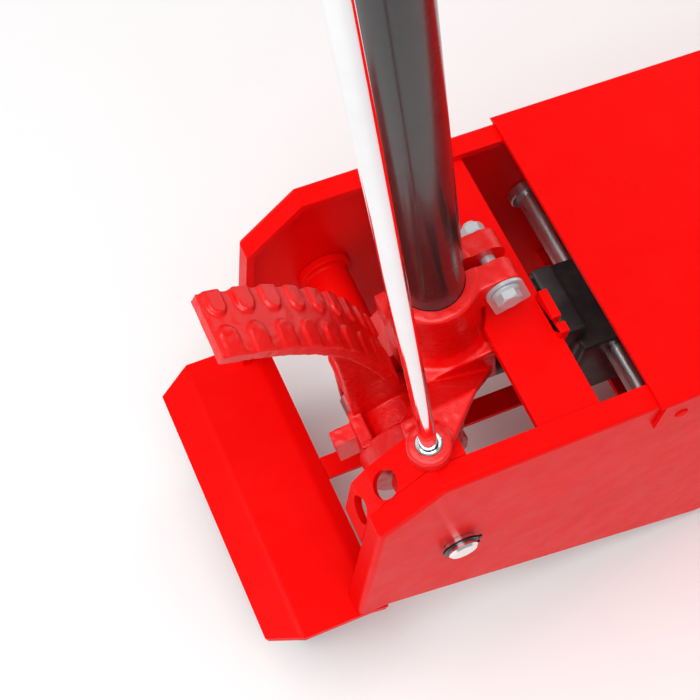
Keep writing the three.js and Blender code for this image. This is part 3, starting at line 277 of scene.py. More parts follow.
def bare_metal(name, tone, shade, rough, stretch, bump=0.12, dust=0.0, metal=1.0):
    """Plated or turned metal with fine lines along one direction."""
    material, tree, shader = start_material(name, Metallic=metal)
    mottle = placed(tree, MOTTLE, [
        ("Tone", tone), ("Shade", shade), ("Scale", 25.0), ("Rough Low", rough[0]), ("Rough High", rough[1])])
    lines = placed(tree, BRUSH_LINES, [
        ("Stretch", stretch), ("Scale", 1100.0), ("Rough Low", rough[0]), ("Rough High", rough[1])])
    film = placed(tree, SETTLED_DUST, [
        ("Color", mottle.outputs["Color"]), ("Roughness", lines.outputs["Roughness"]), ("Amount", dust)])
    tree.links.new(film.outputs["Color"], shader.inputs["Base Color"])
    tree.links.new(film.outputs["Roughness"], shader.inputs["Roughness"])
    add_bump(tree, shader, lines.outputs["Height"], bump, 0.0002)
    return material


def moulded(name, tone, shade, rough, bump):
    """Rubber and moulded plastic: fine matte grain and a dusty bloom."""
    material, tree, shader = start_material(name)
    mottle = placed(tree, MOTTLE, [
        ("Tone", tone), ("Shade", shade), ("Scale", 30.0), ("Rough Low", rough[0]), ("Rough High", rough[1])])
    film = placed(tree, SETTLED_DUST, [
        ("Color", mottle.outputs["Color"]), ("Roughness", mottle.outputs["Roughness"]), ("Amount", 0.35)])
    tree.links.new(film.outputs["Color"], shader.inputs["Base Color"])
    tree.links.new(film.outputs["Roughness"], shader.inputs["Roughness"])
    skin = placed(tree, SKIN_GRAIN, [("Fine", 1400.0), ("Wave", 300.0), ("Share", 0.3)])
    add_bump(tree, shader, skin.outputs["Height"], bump, 0.0004)
    return material


def make_materials():
    # light is a brighter red put on the convex edges of both red paints: a painted edge highlight, not wear.
    red, deep, light = (0.88, 0.002, 0.0015, 1), (0.78, 0.0015, 0.001, 1), (0.95, 0.006, 0.005, 1)
    return {
        "red_paint": painted("red_paint", red, deep, light, (0.34, 0.44), (2600.0, 420.0, 0.5), 0.08,
                             coat=0.02, dust=0.004, specular=0.05),
        "cast_red": painted("cast_red", red, (0.66, 0.002, 0.0015, 1), light, (0.26, 0.42),
                            (1500.0, 480.0, 0.55), 0.7, coat=0.25, dust=0.004, specular=0.3),
        "black_paint": painted("black_paint", (0.006, 0.006, 0.0065, 1), (0.012, 0.012, 0.013, 1),
                               (0.03, 0.03, 0.03, 1), (0.2, 0.28), (1800.0, 200.0, 0.7), 0.05, coat=0.35, dust=0.02,
                               specular=0.35),
        "dark_iron": painted("dark_iron", (0.03, 0.03, 0.032, 1), (0.015, 0.015, 0.016, 1),
                             (0.09, 0.09, 0.09, 1), (0.35, 0.5), (1300.0, 400.0, 0.5), 0.5, coat=0.2),
        "wheel_steel": painted("wheel_steel", (0.035, 0.035, 0.038, 1), (0.02, 0.02, 0.022, 1),
                               (0.25, 0.25, 0.26, 1), (0.35, 0.5), (1400.0, 300.0, 0.5), 0.35, coat=0.3, dust=0.4),
        "chrome": bare_metal("chrome", (0.86, 0.87, 0.88, 1), (0.8, 0.81, 0.82, 1), (0.05, 0.1),
                             (1.0, 1.0, 0.1), bump=0.03),
        "zinc": bare_metal("zinc", (0.62, 0.63, 0.65, 1), (0.48, 0.49, 0.51, 1), (0.34, 0.5), (1.0, 0.4, 1.0),
                           metal=0.45),
        "bright_steel": bare_metal("bright_steel", (0.56, 0.57, 0.58, 1), (0.42, 0.43, 0.44, 1), (0.25, 0.42),
                                   (1.0, 0.06, 1.0), dust=0.15),
        "black_steel": bare_metal("black_steel", (0.045, 0.045, 0.048, 1), (0.03, 0.03, 0.03, 1), (0.3, 0.45),
                                  (1.0, 1.0, 1.0)),
        "brass": bare_metal("brass", (0.72, 0.5, 0.2, 1), (0.6, 0.4, 0.15, 1), (0.2, 0.35), (0.06, 1.0, 1.0)),
        "rubber": moulded("rubber", (0.014, 0.014, 0.015, 1), (0.024, 0.024, 0.025, 1), (0.55, 0.75), 0.5),
    }


MATERIALS = make_materials()


# ------------------------------------------------------------------ mesh makers
def object_from(bm, name="form"):
    bmesh.ops.recalc_face_normals(bm, faces=bm.faces)
    mesh = bpy.data.meshes.new(name)
    bm.to_mesh(mesh)
    bm.free()
    made = bpy.data.objects.new(name, mesh)
    bpy.context.scene.collection.objects.link(made)
    return made


def settled(obj):
    """Applies the modifiers of an object to its mesh."""
    graph = bpy.context.evaluated_depsgraph_get()
    mesh = bpy.data.meshes.new_from_object(obj.evaluated_get(graph))
    obj.modifiers.clear()
    old, obj.data = obj.data, mesh
    bpy.data.meshes.remove(old)
    return obj


def discard(obj):
    mesh = obj.data
    bpy.data.objects.remove(obj)
    bpy.data.meshes.remove(mesh)


def combined(obj, others, operation):
    for other in others:
        modifier = obj.modifiers.new("shape", "BOOLEAN")
        modifier.operation = operation
        modifier.solver = "EXACT"
        modifier.object = other
    settled(obj)
    for other in others:
        discard(other)
    return obj


def carve(obj, *tools):
    return combined(obj, tools, "DIFFERENCE")


def weld(obj, *others):
    return combined(obj, others, "UNION")


def extruded(points_low, points_high):
    """A closed solid between two outlines with as many points each."""
    bm = bmesh.new()
    low = [bm.verts.new(p) for p in points_low]
    high = [bm.verts.new(p) for p in points_high]
    bm.faces.new(low)
    bm.faces.new(high)
    for i, vert in enumerate(low):
        after = (i + 1) % len(low)
        bm.faces.new((vert, low[after], high[after], high[i]))
    return object_from(bm)


def side_prism(outline, y0, y1):
    """An outline in x and z, drawn out along y."""
    return extruded([(x, y0, z) for x, z in outline], [(x, y1, z) for x, z in outline])


def flat_prism(outline, z0, z1):
    """An outline in x and y, drawn out along z."""
    return extruded([(x, y, z0) for x, y in outline], [(x, y, z1) for x, y in outline])


def block(x0, x1, y0, y1, z0, z1):
    return flat_prism([(x0, y0), (x1, y0), (x1, y1), (x0, y1)], z0, z1)


def turned(profile, axis, centre, sides=72):
    """A profile of (radius, place along the axis), closed on the axis or on itself, turned about it."""
    bm = bmesh.new()
    rings = []
    for radius, along in profile:
        if radius < 1e-6:
            rings.append([bm.verts.new(axis_point(axis, along, 0.0, 0.0, centre))])
            continue
        angles = [2 * math.pi * i / sides for i in range(sides)]
        rings.append([bm.verts.new(axis_point(axis, along, radius * math.cos(a), radius * math.sin(a), centre))
                      for a in angles])
    closed = len(rings[0]) > 1
    pairs = list(zip(rings, rings[1:])) + ([(rings[-1], rings[0])] if closed else [])
    for low, high in pairs:
        bridge(bm, low, high)
    return object_from(bm)


def bridge(bm, low, high):
    count = max(len(low), len(high))
    if count == 1:
        return
    for i in range(count):
        after = (i + 1) % count
        if len(low) == 1:
            bm.faces.new((low[0], high[i], high[after]))
        elif len(high) == 1:
            bm.faces.new((low[i], low[after], high[0]))
        else:
            bm.faces.new((low[i], low[after], high[after], high[i]))


def axis_point(axis, along, a, b, centre):
    """A point at a place along an axis; the centre is the other two coordinates."""
    if axis == "x":
        return along, centre[0] + a, centre[1] + b
    if axis == "y":
        return centre[0] + a, along, centre[1] + b
    return centre[0] + a, centre[1] + b, along


def bar(axis, low, high, radius, centre, sides=72):
    return turned([(0, low), (radius, low), (radius, high), (0, high)], axis, centre, sides)


def tube(axis, low, high, radius, bore, centre, sides=72):
    profile = [(bore, low), (radius, low), (radius, high), (bore, high)]
    return turned(profile, axis, centre, sides)


def arc_points(cx, cy, radius, start, end, steps):
    """Points on an arc, angles in degrees."""
    angles = [math.radians(start + (end - start) * i / steps) for i in range(steps + 1)]
    return [(cx + radius * math.cos(a), cy + radius * math.sin(a)) for a in angles]


def eased(points, radius, steps=4, closed=False):
    """A path or outline whose corners are rounded."""
    made = []
    count = len(points)
    for i, point in enumerate(points):
        if not closed and i in (0, count - 1):
            made.append(point)
            continue
        here = Vector(point)
        before = Vector(points[i - 1]) - here
        after = Vector(points[(i + 1) % count]) - here
        half = before.angle(after) / 2
        reach = min(radius / max(math.tan(half), 1e-3), 0.45 * min(before.length, after.length))
        start, end = here + before.normalized() * reach, here + after.normalized() * reach
        for k in range(steps + 1):
            t = k / steps
            made.append(tuple((1 - t) ** 2 * start + 2 * t * (1 - t) * here + t * t * end))
    return made


def offset_path(points, distance):
    """An open path moved to its right by a distance."""
    runs = []
    for first, second in zip(points, points[1:]):
        run = (Vector(second) - Vector(first)).normalized()
        runs.append(Vector((run.y, -run.x)))
    made = []
    for i, point in enumerate(points):
        before, after = runs[max(i - 1, 0)], runs[min(i, len(runs) - 1)]
        made.append(tuple(Vector(point) + (before + after) * distance / (1 + before.dot(after))))
    return made


def bent_sheet(path, thickness, y0, y1, radius=4.0):
    """Sheet bent along a path in x and z, its thickness to the path's right."""
    outer, inner = eased(path, radius + thickness), eased(offset_path(path, thickness), radius)
    return side_prism(outer + inner[::-1], y0, y1)


def linked(first, second, r1, r2, y0, y1):
    """A flat link between two round ends in x and z."""
    first, second = Vector(first), Vector(second)
    run = second - first
    base = math.degrees(math.atan2(run.y, run.x))
    spread = math.degrees(math.acos(max(-1.0, min(1.0, (r1 - r2) / run.length))))
    outline = arc_points(*first, r1, base + spread, base + 360 - spread, 24)
    outline += arc_points(*second, r2, base - spread, base + spread, 24)
    return side_prism(outline, y0, y1)


def ease_edges(obj, width=EASE, segments=2, angle=32):
    modifier = obj.modifiers.new("ease", "BEVEL")
    modifier.width = width
    modifier.segments = segments
    modifier.limit_method = "ANGLE"
    modifier.angle_limit = math.radians(angle)
    modifier.use_clamp_overlap = True
    return settled(obj)


def smooth_shaded(obj, angle=32, weighted=True):
    """Smooth shading with sharp edges; flat faces stay flat where the normals are weighted."""
    obj.data.shade_smooth()
    obj.data.set_sharp_from_angle(angle=math.radians(angle))
    if weighted:
        modifier = obj.modifiers.new("normals", "WEIGHTED_NORMAL")
        modifier.keep_sharp = True
        settled(obj)
    return obj


def merged(solids):
    """One object holding several closed solids that may overlap."""
    bm = bmesh.new()
    for part in solids:
        bm.from_mesh(part.data)
        discard(part)
    return object_from(bm)


def cast_form(solids, grain=1.2, passes=6):
    """Overlapping solids run together into one casting with soft inner and outer corners."""
    body = merged(solids)
    remesh = body.modifiers.new("skin", "REMESH")
    remesh.mode = "VOXEL"
    remesh.voxel_size = grain
    smooth = body.modifiers.new("flow", "SMOOTH")
    smooth.factor = 0.6
    smooth.iterations = passes
    return settled(body)


def roughened(obj, height, size, seed=0):
    """Moves a casting's skin in and out by a slow noise."""
    mesh = obj.data
    normals = [v.normal.copy() for v in mesh.vertices]
    for vert, normal in zip(mesh.vertices, normals):
        shift = noise.noise(vert.co / size + Vector((seed, 0, 0))) * height
        vert.co = vert.co + normal * shift
    return obj


def finish_piece(obj, name, place=AXLE_AT):
    """Puts a finished form on the jack in place of the plain solid of the same name."""
    obj.data.transform(place)
    obj.data.update()
    obj.name = name + "_fine"
    obj.data.name = obj.name
    slot = SLOT_OF[name]
    obj.data.materials.clear()
    obj.data.materials.append(MATERIALS[slot])
    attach(obj, BODY_OF[name])
    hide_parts(name)
    return obj


# ------------------------------------------------------------------ chassis
PLATE = 6.0
GAP = 0.3
OFFSET = 46.8  # handle's centre line ahead of its axle
FLANGE = 17.4  # width of a side plate's bent-in edge
BEND = 5.0  # outer radius of that bend
BELLY_REAR_Z = -89.7  # lower rear corner of a side plate
AXLE_BORE = 11.5  # radius of every bore that the handle axle runs in
CIRCLIP = 1.5  # thickness of an axle circlip
HALF = span("side_plate_right")[1].y
INNER = HALF - PLATE
FLOOR = -AXLE.z / MM
PLATE_LOW, PLATE_HIGH = span("side_plate_left")
PLATE_TOP = PLATE_HIGH.z
REAR_X = PLATE_LOW.x
NOSE_X = PLATE_HIGH.x
BELLY_Z = PLATE_LOW.z
CHAMFER_TOP_X = -29.6
CHAMFER_LOW_Z = 73.4
TOP_PATH = [(REAR_X, BELLY_REAR_Z), (REAR_X, CHAMFER_LOW_Z), (CHAMFER_TOP_X, PLATE_TOP), (640, PLATE_TOP),
            (NOSE_X, -60)]
LOW_PATH = [(NOSE_X, -150), (970, BELLY_Z), (258, BELLY_Z), (-42, BELLY_REAR_Z)]
PIVOT = place_of("arm_shaft")
FRONT_AXLE = place_of("front_axle")
UNIT_PIN = place_of("unit_pin")
SADDLE_PIN = place_of("saddle_pin")
DROOP = math.atan2(PIVOT[1] - SADDLE_PIN[1], SADDLE_PIN[0] - PIVOT[0])  # the lift arm lies down at rest


def radius_of(node_name, axis="z"):
    low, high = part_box(node_name)
    return getattr(high - low, axis) / 2 / MM


def round_outer_rim(obj, y, radius):
    """Rounds the edges of a side plate where its face meets the bent-in rim."""
    bm = bmesh.new()
    bm.from_mesh(obj.data)
    corners = [Vector((x, y, z)) for x, z in TOP_PATH]
    rim = [e for e in bm.edges if all(min((v.co - c).length for c in corners) < 0.01 for v in e.verts)]
    bmesh.ops.bevel(bm, geom=rim, offset=radius, segments=5, profile=0.5, affect="EDGES", clamp_overlap=True)
    bm.to_mesh(obj.data)
    bm.free()
    return obj


def side_plate(side):
    face = side * HALF
    rim = side * (HALF - FLANGE)
    shell = side_prism(TOP_PATH + LOW_PATH, min(face, rim), max(face, rim))
    round_outer_rim(shell, face, BEND)
    inner_top = offset_path(TOP_PATH, PLATE)
    inner_top[0] = (REAR_X + PLATE, BELLY_Z - 60)
    inner_top[-1] = (NOSE_X + 20, inner_top[-1][1] - 8)
    hollow_line = inner_top + [(NOSE_X + 20, BELLY_Z - 60)]
    web = side * INNER
    over = side * (HALF - FLANGE - 3)
    hollow = side_prism(hollow_line, min(web, over), max(web, over))
    low, high = sorted((side * (INNER - 2), side * (HALF + 2)))
    bores = [bar("y", low, high, radius, centre) for radius, centre in (
        (radius_of("handle_axle") + GAP, (0, 0)), (radius_of("arm_shaft") + GAP, PIVOT),
        (radius_of("front_axle") + GAP, FRONT_AXLE))]
    return ease_edges(carve(shell, hollow, *bores), 0.5)


def make_side_plates():
    for side, name in ((-1, "side_plate_left"), (1, "side_plate_right")):
        finish_piece(smooth_shaded(side_plate(side)), name)


LOCK_Y = -(HALF - FLANGE - 10.2)  # lock rod's line
LOCK_ANGLES = [math.radians(a) for a in (13, 31, 49)]
LOCK_HOLE = 9.7


def radial_bore(angle, radius, y, low, high):
    tool = bar("z", low, high, radius, (0, 0), 48)
    tool.data.transform(Matrix.Translation((0, y, 0)) @ Matrix.Rotation(-angle, 4, "Y"))
    return tool


def make_lock_quadrant():
    low, high = span("lock_quadrant")
    run = (Vector((CHAMFER_TOP_X, PLATE_TOP)) - Vector((REAR_X, CHAMFER_LOW_Z))).normalized() * 13
    path = [(REAR_X, low.z), (REAR_X, CHAMFER_LOW_Z - 6.5), (REAR_X + run.x, CHAMFER_LOW_Z + run.y),
            (CHAMFER_TOP_X, PLATE_TOP), (high.x, PLATE_TOP)]
    strip = bent_sheet(path, PLATE, low.y, high.y, 3.0)
    holes = [radial_bore(angle, LOCK_HOLE, LOCK_Y, 40, 150) for angle in LOCK_ANGLES]
    finish_piece(smooth_shaded(ease_edges(carve(strip, *holes), 0.9)), "lock_quadrant")


CASTER_X, CASTER_Y = -89, 85  # swivel axis of a caster
CASTER_BOSS = 8  # depth of the boss above a caster


def make_caster_plate():
    low, high = span("caster_plate")
    top = high.z
    path = [(low.x, top - 11), (low.x + 24, top), (high.x - 13, top), (high.x, top - 5.5)]
    sheet = bent_sheet(path, PLATE, low.y, high.y, 9.0)
    corners = [flat_prism([(low.x - 2, side * (HALF - 15)), (low.x - 2, side * (HALF + 2)),
                           (low.x + 30, side * (HALF + 2))], top - 30, top + 5) for side in (-1, 1)]
    seats = [(CASTER_X, side * CASTER_Y) for side in (-1, 1)]
    sheet = carve(sheet, *corners)
    under = top - PLATE
    bosses = [tube("z", under - CASTER_BOSS, under + 1.5, 20, 7.4, at, 72) for at in seats]
    whole = merged([ease_edges(sheet, 0.8), *[ease_edges(boss, 0.8) for boss in bosses]])
    finish_piece(smooth_shaded(whole), "caster_plate")


def make_centre_strut():
    low, high = span("centre_strut")
    bar_form = block(low.x, high.x, -9, 9, low.z, high.z)
    foot = block(high.x - 30, high.x, low.y, high.y, low.z, high.z)
    finish_piece(smooth_shaded(ease_edges(weld(bar_form, foot), 0.8, 3)), "centre_strut")


def make_cross_plate():
    low, high = span("cross_plate")
    top = PLATE_TOP - PLATE - GAP
    sheet = block(low.x, high.x - 3, low.y, high.y, low.z, top)
    notch = bar("z", low.z - 2, top + 2, 34.7, (OFFSET - PLATE_TOP * math.sin(LEAN), 0))
    hook = block(high.x - 7, high.x, -50, -16, low.z, high.z)
    tongue = block(high.x - 9, high.x + 1, -42, -38, top + 1, high.z + 1)
    body = weld(carve(sheet, notch), carve(hook, tongue))
    finish_piece(smooth_shaded(ease_edges(body, 0.9, 3)), "cross_plate")


def rounded_along_x(obj, places, radius):
    """Rounds the long edges that run along x through the given (y, z) places."""
    bm = bmesh.new()
    bm.from_mesh(obj.data)

    def near(vert):
        return any(abs(vert.co.y - y) < 0.01 and abs(vert.co.z - z) < 0.01 for y, z in places)

    edges = [e for e in bm.edges if all(near(v) for v in e.verts)
             and abs(e.verts[0].co.y - e.verts[1].co.y) < 0.01 and abs(e.verts[0].co.z - e.verts[1].co.z) < 0.01]
    bmesh.ops.bevel(bm, geom=edges, offset=radius, segments=5, profile=0.5, affect="EDGES")
    bm.to_mesh(obj.data)
    bm.free()
    return obj


def make_top_cover():
    low, high = span("top_cover")
    sheet = 3.0
    shell = block(low.x, high.x, low.y, high.y, low.z, high.z)
    rounded_along_x(shell, [(low.y, high.z), (high.y, high.z)], 4.0)
    hollow = block(low.x - 5, high.x + 5, low.y + sheet, high.y - sheet, low.z - 5, high.z - sheet)
    rounded_along_x(hollow, [(low.y + sheet, high.z - sheet), (high.y - sheet, high.z - sheet)], 1.5)
    step = [block(low.x - 5, low.x + 4, min(y, y + side * 12), max(y, y + side * 12), low.z - 5, high.z - sheet)
            for side, y in ((-1, low.y + 4), (1, high.y - 4))]
    at = (low.x + 22, high.z - 23.8)
    holes = [bar("y", low.y - 2, low.y + 6, 3.2, at, 32), bar("y", high.y - 6, high.y + 2, 3.2, at, 32)]
    finish_piece(smooth_shaded(ease_edges(carve(shell, hollow, *step, *holes), 0.6)), "top_cover")


def make_cover_screws():
    for side, name in ((-1, "cover_screw_left"), (1, "cover_screw_right")):
        low, high = span(name)
        start, end = (high.y, low.y) if side < 0 else (low.y, high.y)
        dome = [(0, end), (2.2, end - 0.1 * (end - start)), (4.2, end - 0.45 * (end - start)),
                (5.0, start), (0, start)]
        finish_piece(smooth_shaded(turned(dome, "y", place_of(name), 40)), name)


def make_front_tie():
    low, high = span("front_tie_plate")
    finish_piece(smooth_shaded(ease_edges(block(low.x, high.x, low.y, high.y, low.z, high.z), 0.8)),
                 "front_tie_plate")


def shaft(name, radius, groove=None, chamfer=1.2):
    """A bright shaft along y with chamfered ends and, where it has them, ring grooves."""
    low, high = span(name)
    half = [(0, 0), (radius - chamfer, 0), (radius, chamfer)]
    if groove:
        at, wide, deep = groove
        half += [(radius, at), (radius - deep, at), (radius - deep, at + wide), (radius, at + wide)]
    profile = [(r, low.y + a) for r, a in half] + [(r, high.y - a) for r, a in reversed(half)]
    finish_piece(smooth_shaded(turned(profile, "y", place_of(name), 96)), name)


def make_shafts():
    circlip = span("axle_circlip_left")[0].y
    end = span("handle_axle")[0].y
    shaft("handle_axle", radius_of("handle_axle"), (circlip - end - GAP, CIRCLIP + 2 * GAP, 1.6), 1.6)
    for name in ("arm_shaft", "front_axle", "thrust_pin", "saddle_pin"):
        shaft(name, radius_of(name))


def make_unit_pin():
    low, high = span("unit_pin")
    pin, collar, wide = 9, 14, 8
    end = [(0, 0), (collar - 1, 0), (collar, 1), (collar, wide - 1), (collar - 1, wide), (pin, wide)]
    profile = [(r, low.y + a) for r, a in end] + [(r, high.y - a) for r, a in reversed(end)]
    finish_piece(smooth_shaded(turned(profile, "y", UNIT_PIN, 96)), "unit_pin")


def make_circlips():
    for name in ("axle_circlip_left", "axle_circlip_right"):
        low, high = span(name)
        outer = 14.1
        ring = tube("y", low.y, high.y, outer, 9.9, (0, 0), 80)
        lugs = [bar("y", low.y, high.y, 3.1, (outer - 2.0, side * 5.2), 32) for side in (-1, 1)]
        gap = block(0, outer + 8, low.y - 1, high.y + 1, -3.4, 3.4)
        eyes = [bar("y", low.y - 1, high.y + 1, 1.2, (outer - 2.0, side * 5.6), 24) for side in (-1, 1)]
        body = carve(weld(ring, *lugs), gap, *eyes)
        finish_piece(smooth_shaded(ease_edges(body, 0.2)), name)


def make_axle_spacer():
    low, high = span("axle_spacer")
    bore, body, flange = AXLE_BORE, 16.5, 21.5
    profile = [(bore, low.y), (body, low.y), (body, high.y - 9), (body + 1.2, high.y - 6.8),
               (flange, high.y - 6), (flange, high.y), (bore, high.y)]
    finish_piece(smooth_shaded(ease_edges(turned(profile, "y", (0, 0), 96), 0.8, 3)), "axle_spacer")


def coil(radius, wire, low, high, turns, sides=12, steps=28):
    """A round wire wound about y, with closed ends."""
    bm = bmesh.new()
    rings = []
    count = turns * steps
    for i in range(count + 1):
        angle = 2 * math.pi * turns * i / count
        out = Vector((math.cos(angle), 0, math.sin(angle)))
        centre = out * radius + Vector((0, low + (high - low) * i / count, 0))
        rings.append([bm.verts.new(centre + out * wire * math.cos(a) + Vector((0, wire * math.sin(a), 0)))
                      for a in (2 * math.pi * k / sides for k in range(sides))])
    for first, second in zip(rings, rings[1:]):
        bridge(bm, first, second)
    bm.faces.new(rings[0])
    bm.faces.new(rings[-1])
    return object_from(bm)


def make_torsion_spring():
    low, high = span("torsion_spring")
    wire = 2.2
    radius = high.x - wire
    form = coil(radius, wire, low.y + wire, high.y - wire, 5)
    finish_piece(smooth_shaded(form, 60), "torsion_spring")


def make_tie_anchor():
    low, high = span("tie_rod_anchor")
    shoulder = span("tie_rod")[0].y - 1
    profile = [(0, low.y), (14, low.y), (14, shoulder), (8, shoulder), (8, high.y - 1), (7, high.y), (0, high.y)]
    anchor = turned(profile, "y", place_of("tie_rod_anchor"))
    finish_piece(smooth_shaded(ease_edges(anchor, 0.5)), "tie_rod_anchor")


# ------------------------------------------------------------------ hydraulic unit
PUMP_Y = 22.0
PUMP_Z = (middle("pump_plunger").z - AXLE.z) / MM
VALVE_AT = (-12.0, 10.0)
RAM_Z = (middle("ram").z - AXLE.z) / MM
THRUST_ARM = 78.0
HALF_LIFT = math.radians(25)  # half of the lift arm's swing


def hex_head(axis, base, top, across, centre):
    """A hexagon head whose corners are turned off at its outer end."""
    corner = across / math.sqrt(3)
    head = bar(axis, min(base, top), max(base, top), corner, centre, 6)
    drop = 0.18 * across
    out = 1 if top > base else -1
    cone = turned([(0, base - out), (corner * 1.6, base - out), (corner * 1.6, top - out * drop * 1.9),
                   (across * 0.46, top + out * 0.02), (0, top + out * 0.02)], axis, centre, 64)
    return combined(head, [cone], "INTERSECT")


def make_hydraulic_block():
    low, high = span("hydraulic_block")
    front, main, top = 120.0, 135.0, high.z
    floor = -42.0
    body = block(main, high.x, -36, 36, floor, 40)
    boss = block(front, main + 2, -28, 28, -30, top)
    housing = block(front, high.x, 2, 42, low.z, floor + 2)
    barrel = turned([(0, low.x), (15.5, low.x), (17, low.x + 2), (17, front - 4), (21, front + 1), (0, front + 1)],
                    "x", (PUMP_Y, PUMP_Z))
    valve_boss = turned([(0, front - 6), (12, front - 6), (14, front - 4), (15, front + 1), (0, front + 1)],
                        "x", VALVE_AT)
    form = cast_form([body, boss, housing, barrel, valve_boss], 1.6, 5)
    carve(form, bar("x", low.x - 1, high.x - 20, 8.4, (PUMP_Y, PUMP_Z)),
          bar("y", -40, 40, 9.3, UNIT_PIN),
          bar("x", front - 12, front + 20, 7.4, VALVE_AT, 40))
    heads = [hex_head("x", front + 1, front - 7, 14, (sy * 19, z)) for sy in (-1, 1) for z in (-18, top - 12)]
    whole = merged([form, *[ease_edges(h, 0.4) for h in heads]])
    finish_piece(smooth_shaded(whole, 40, False), "hydraulic_block")


def make_reservoir():
    low, high = span("reservoir")
    radius = 44
    profile = [(0, low.x), (49, low.x), (49, low.x + 14), (46.5, low.x + 15.5), (radius, low.x + 17.5)]
    profile += [(radius, high.x - 34), (radius - 2, high.x - 30), (radius - 6, high.x - 26)]
    profile += [(32, high.x - 22), (32, high.x), (20.4, high.x), (20.4, high.x - 150), (0, high.x - 150)]
    body = ease_edges(turned(profile, "x", (0, RAM_Z), 96), 1.2, 3)
    plug = hex_head("z", RAM_Z + 42, RAM_Z + 48.5, 14, (low.x + 60, 0))
    whole = merged([body, ease_edges(plug, 0.4)])
    finish_piece(smooth_shaded(whole, 40), "reservoir")


def make_release_valve():
    low, high = span("release_valve")
    y, z = VALVE_AT
    stem = turned([(0, low.x), (5.5, low.x), (7, low.x + 1.5), (7, high.x - 4), (2, high.x), (0, high.x)],
                  "x", VALVE_AT, 64)
    head = hex_head("x", low.x + 16, low.x, 20, VALVE_AT)
    slot_cut = block(low.x - 1, low.x + 3, y - 10, y + 10, z - 1.2, z + 1.2)
    finish_piece(smooth_shaded(ease_edges(carve(weld(stem, head), slot_cut), 0.4)), "release_valve")


def make_pump_plunger():
    low, high = span("pump_plunger")
    profile = [(0, low.x), (10.6, low.x), (12, low.x + 1.4), (12, low.x + 5), (11, low.x + 6), (8, low.x + 6.5),
               (8, high.x - 1), (7, high.x), (0, high.x)]
    finish_piece(smooth_shaded(turned(profile, "x", (PUMP_Y, PUMP_Z), 96)), "pump_plunger")


def make_ram():
    low, high = span("ram")
    profile = [(0, low.x), (18.5, low.x), (20, low.x + 1.5), (20, high.x - 1), (19, high.x), (0, high.x)]
    finish_piece(smooth_shaded(turned(profile, "x", (0, RAM_Z), 96)), "ram")


def make_crosshead():
    low, high = span("crosshead")
    body = block(low.x, high.x, low.y, high.y, low.z, high.z)
    slot_half = 13.2
    centre = (low.x + high.x) / 2
    rise = 12 + 1 + THRUST_ARM * (1 - math.cos(HALF_LIFT)) / 2
    slot_cut = block(centre - slot_half, centre + slot_half, low.y - 1, high.y + 1, RAM_Z - rise, RAM_Z + rise)
    finish_piece(smooth_shaded(ease_edges(carve(body, slot_cut), 1.6, 3)), "crosshead")


# ------------------------------------------------------------------ handle
TUBE_R = 21.2
COLLAR_R = 29.7
COLLAR_TOP = 150.0
CLAMP = (OFFSET + 40.4, COLLAR_TOP - 15)
LUG_LOW, LUG_TOP, LUG_R = 124.2, 137.0, 14.5
ROD_R = 5.6
ROLLER_ARM = 60.0
BOLT_HOLE = 5.3


def handle_span(node_name):
    """Lowest and highest corner of a handle node in the handle's own leaning frame."""
    inverse = HANDLE_AT.inverted()
    points = [inverse @ v.co for v in frame["nodes"][node_name].data.vertices]
    return [Vector([pick(p[i] for p in points) for i in range(3)]) for pick in (min, max)]


def hull_solid(points):
    bm = bmesh.new()
    for p in points:
        bm.verts.new(p)
    made = bmesh.ops.convex_hull(bm, input=bm.verts)
    bmesh.ops.delete(bm, geom=[g for g in made["geom_interior"] if isinstance(g, bmesh.types.BMVert)],
                     context="VERTS")
    return object_from(bm)


def ring_3d(cx, cy, z, radius, count=24):
    return [(cx + radius * math.cos(2 * math.pi * i / count), cy + radius * math.sin(2 * math.pi * i / count), z)
            for i in range(count)]


def roller_centre():
    """Straight under the axle while the handle stands at rest."""
    return -ROLLER_ARM * math.sin(LEAN), -ROLLER_ARM * math.cos(LEAN)


def socket_solids():
    collar = turned([(0, 60), (COLLAR_R + 5, 60), (COLLAR_R + 5, 88), (COLLAR_R + 1.2, 93), (COLLAR_R, 99),
                     (COLLAR_R, COLLAR_TOP - 1.5), (COLLAR_R - 2, COLLAR_TOP), (0, COLLAR_TOP)], "z", (OFFSET, 0))
    ledge = block(16, 72, -37, 37, 42, 87)
    ears = linked((OFFSET, CLAMP[1]), CLAMP, 13, 13, -20, 20)
    hub = bar("y", 2, 46, 27, (0, 0))
    far_neck = linked((0, 0), (38, 62), 27, 20, 2, 37)
    near_cheek = linked((0, 0), (16, 92), 25, 16, -73, -61)
    lug = turned([(0, LUG_LOW), (LUG_R, LUG_LOW), (LUG_R, LUG_TOP - 1), (LUG_R - 1, LUG_TOP), (0, LUG_TOP)],
                 "z", (0, LOCK_Y))
    root = [(16, -34, 62), (70, -34, 42), (70, -34, 52), (16, -34, 83)]
    shoulder = [(x, -72, z) for x in (-10, 42) for z in (LUG_LOW, LUG_TOP - 3)]
    slope = hull_solid(root + shoulder)
    lug_rim = [p for z in (LUG_LOW, LUG_TOP - 3) for p in ring_3d(0, LOCK_Y, z, LUG_R - 2)]
    reach = hull_solid(shoulder + lug_rim)
    fork = [linked((0, 0), roller_centre(), 26, 15, y0, y0 + 6.5) for y0 in (PUMP_Y - 19.6, PUMP_Y + 13.1)]
    return [collar, ledge, ears, hub, far_neck, near_cheek, lug, slope, reach, *fork]


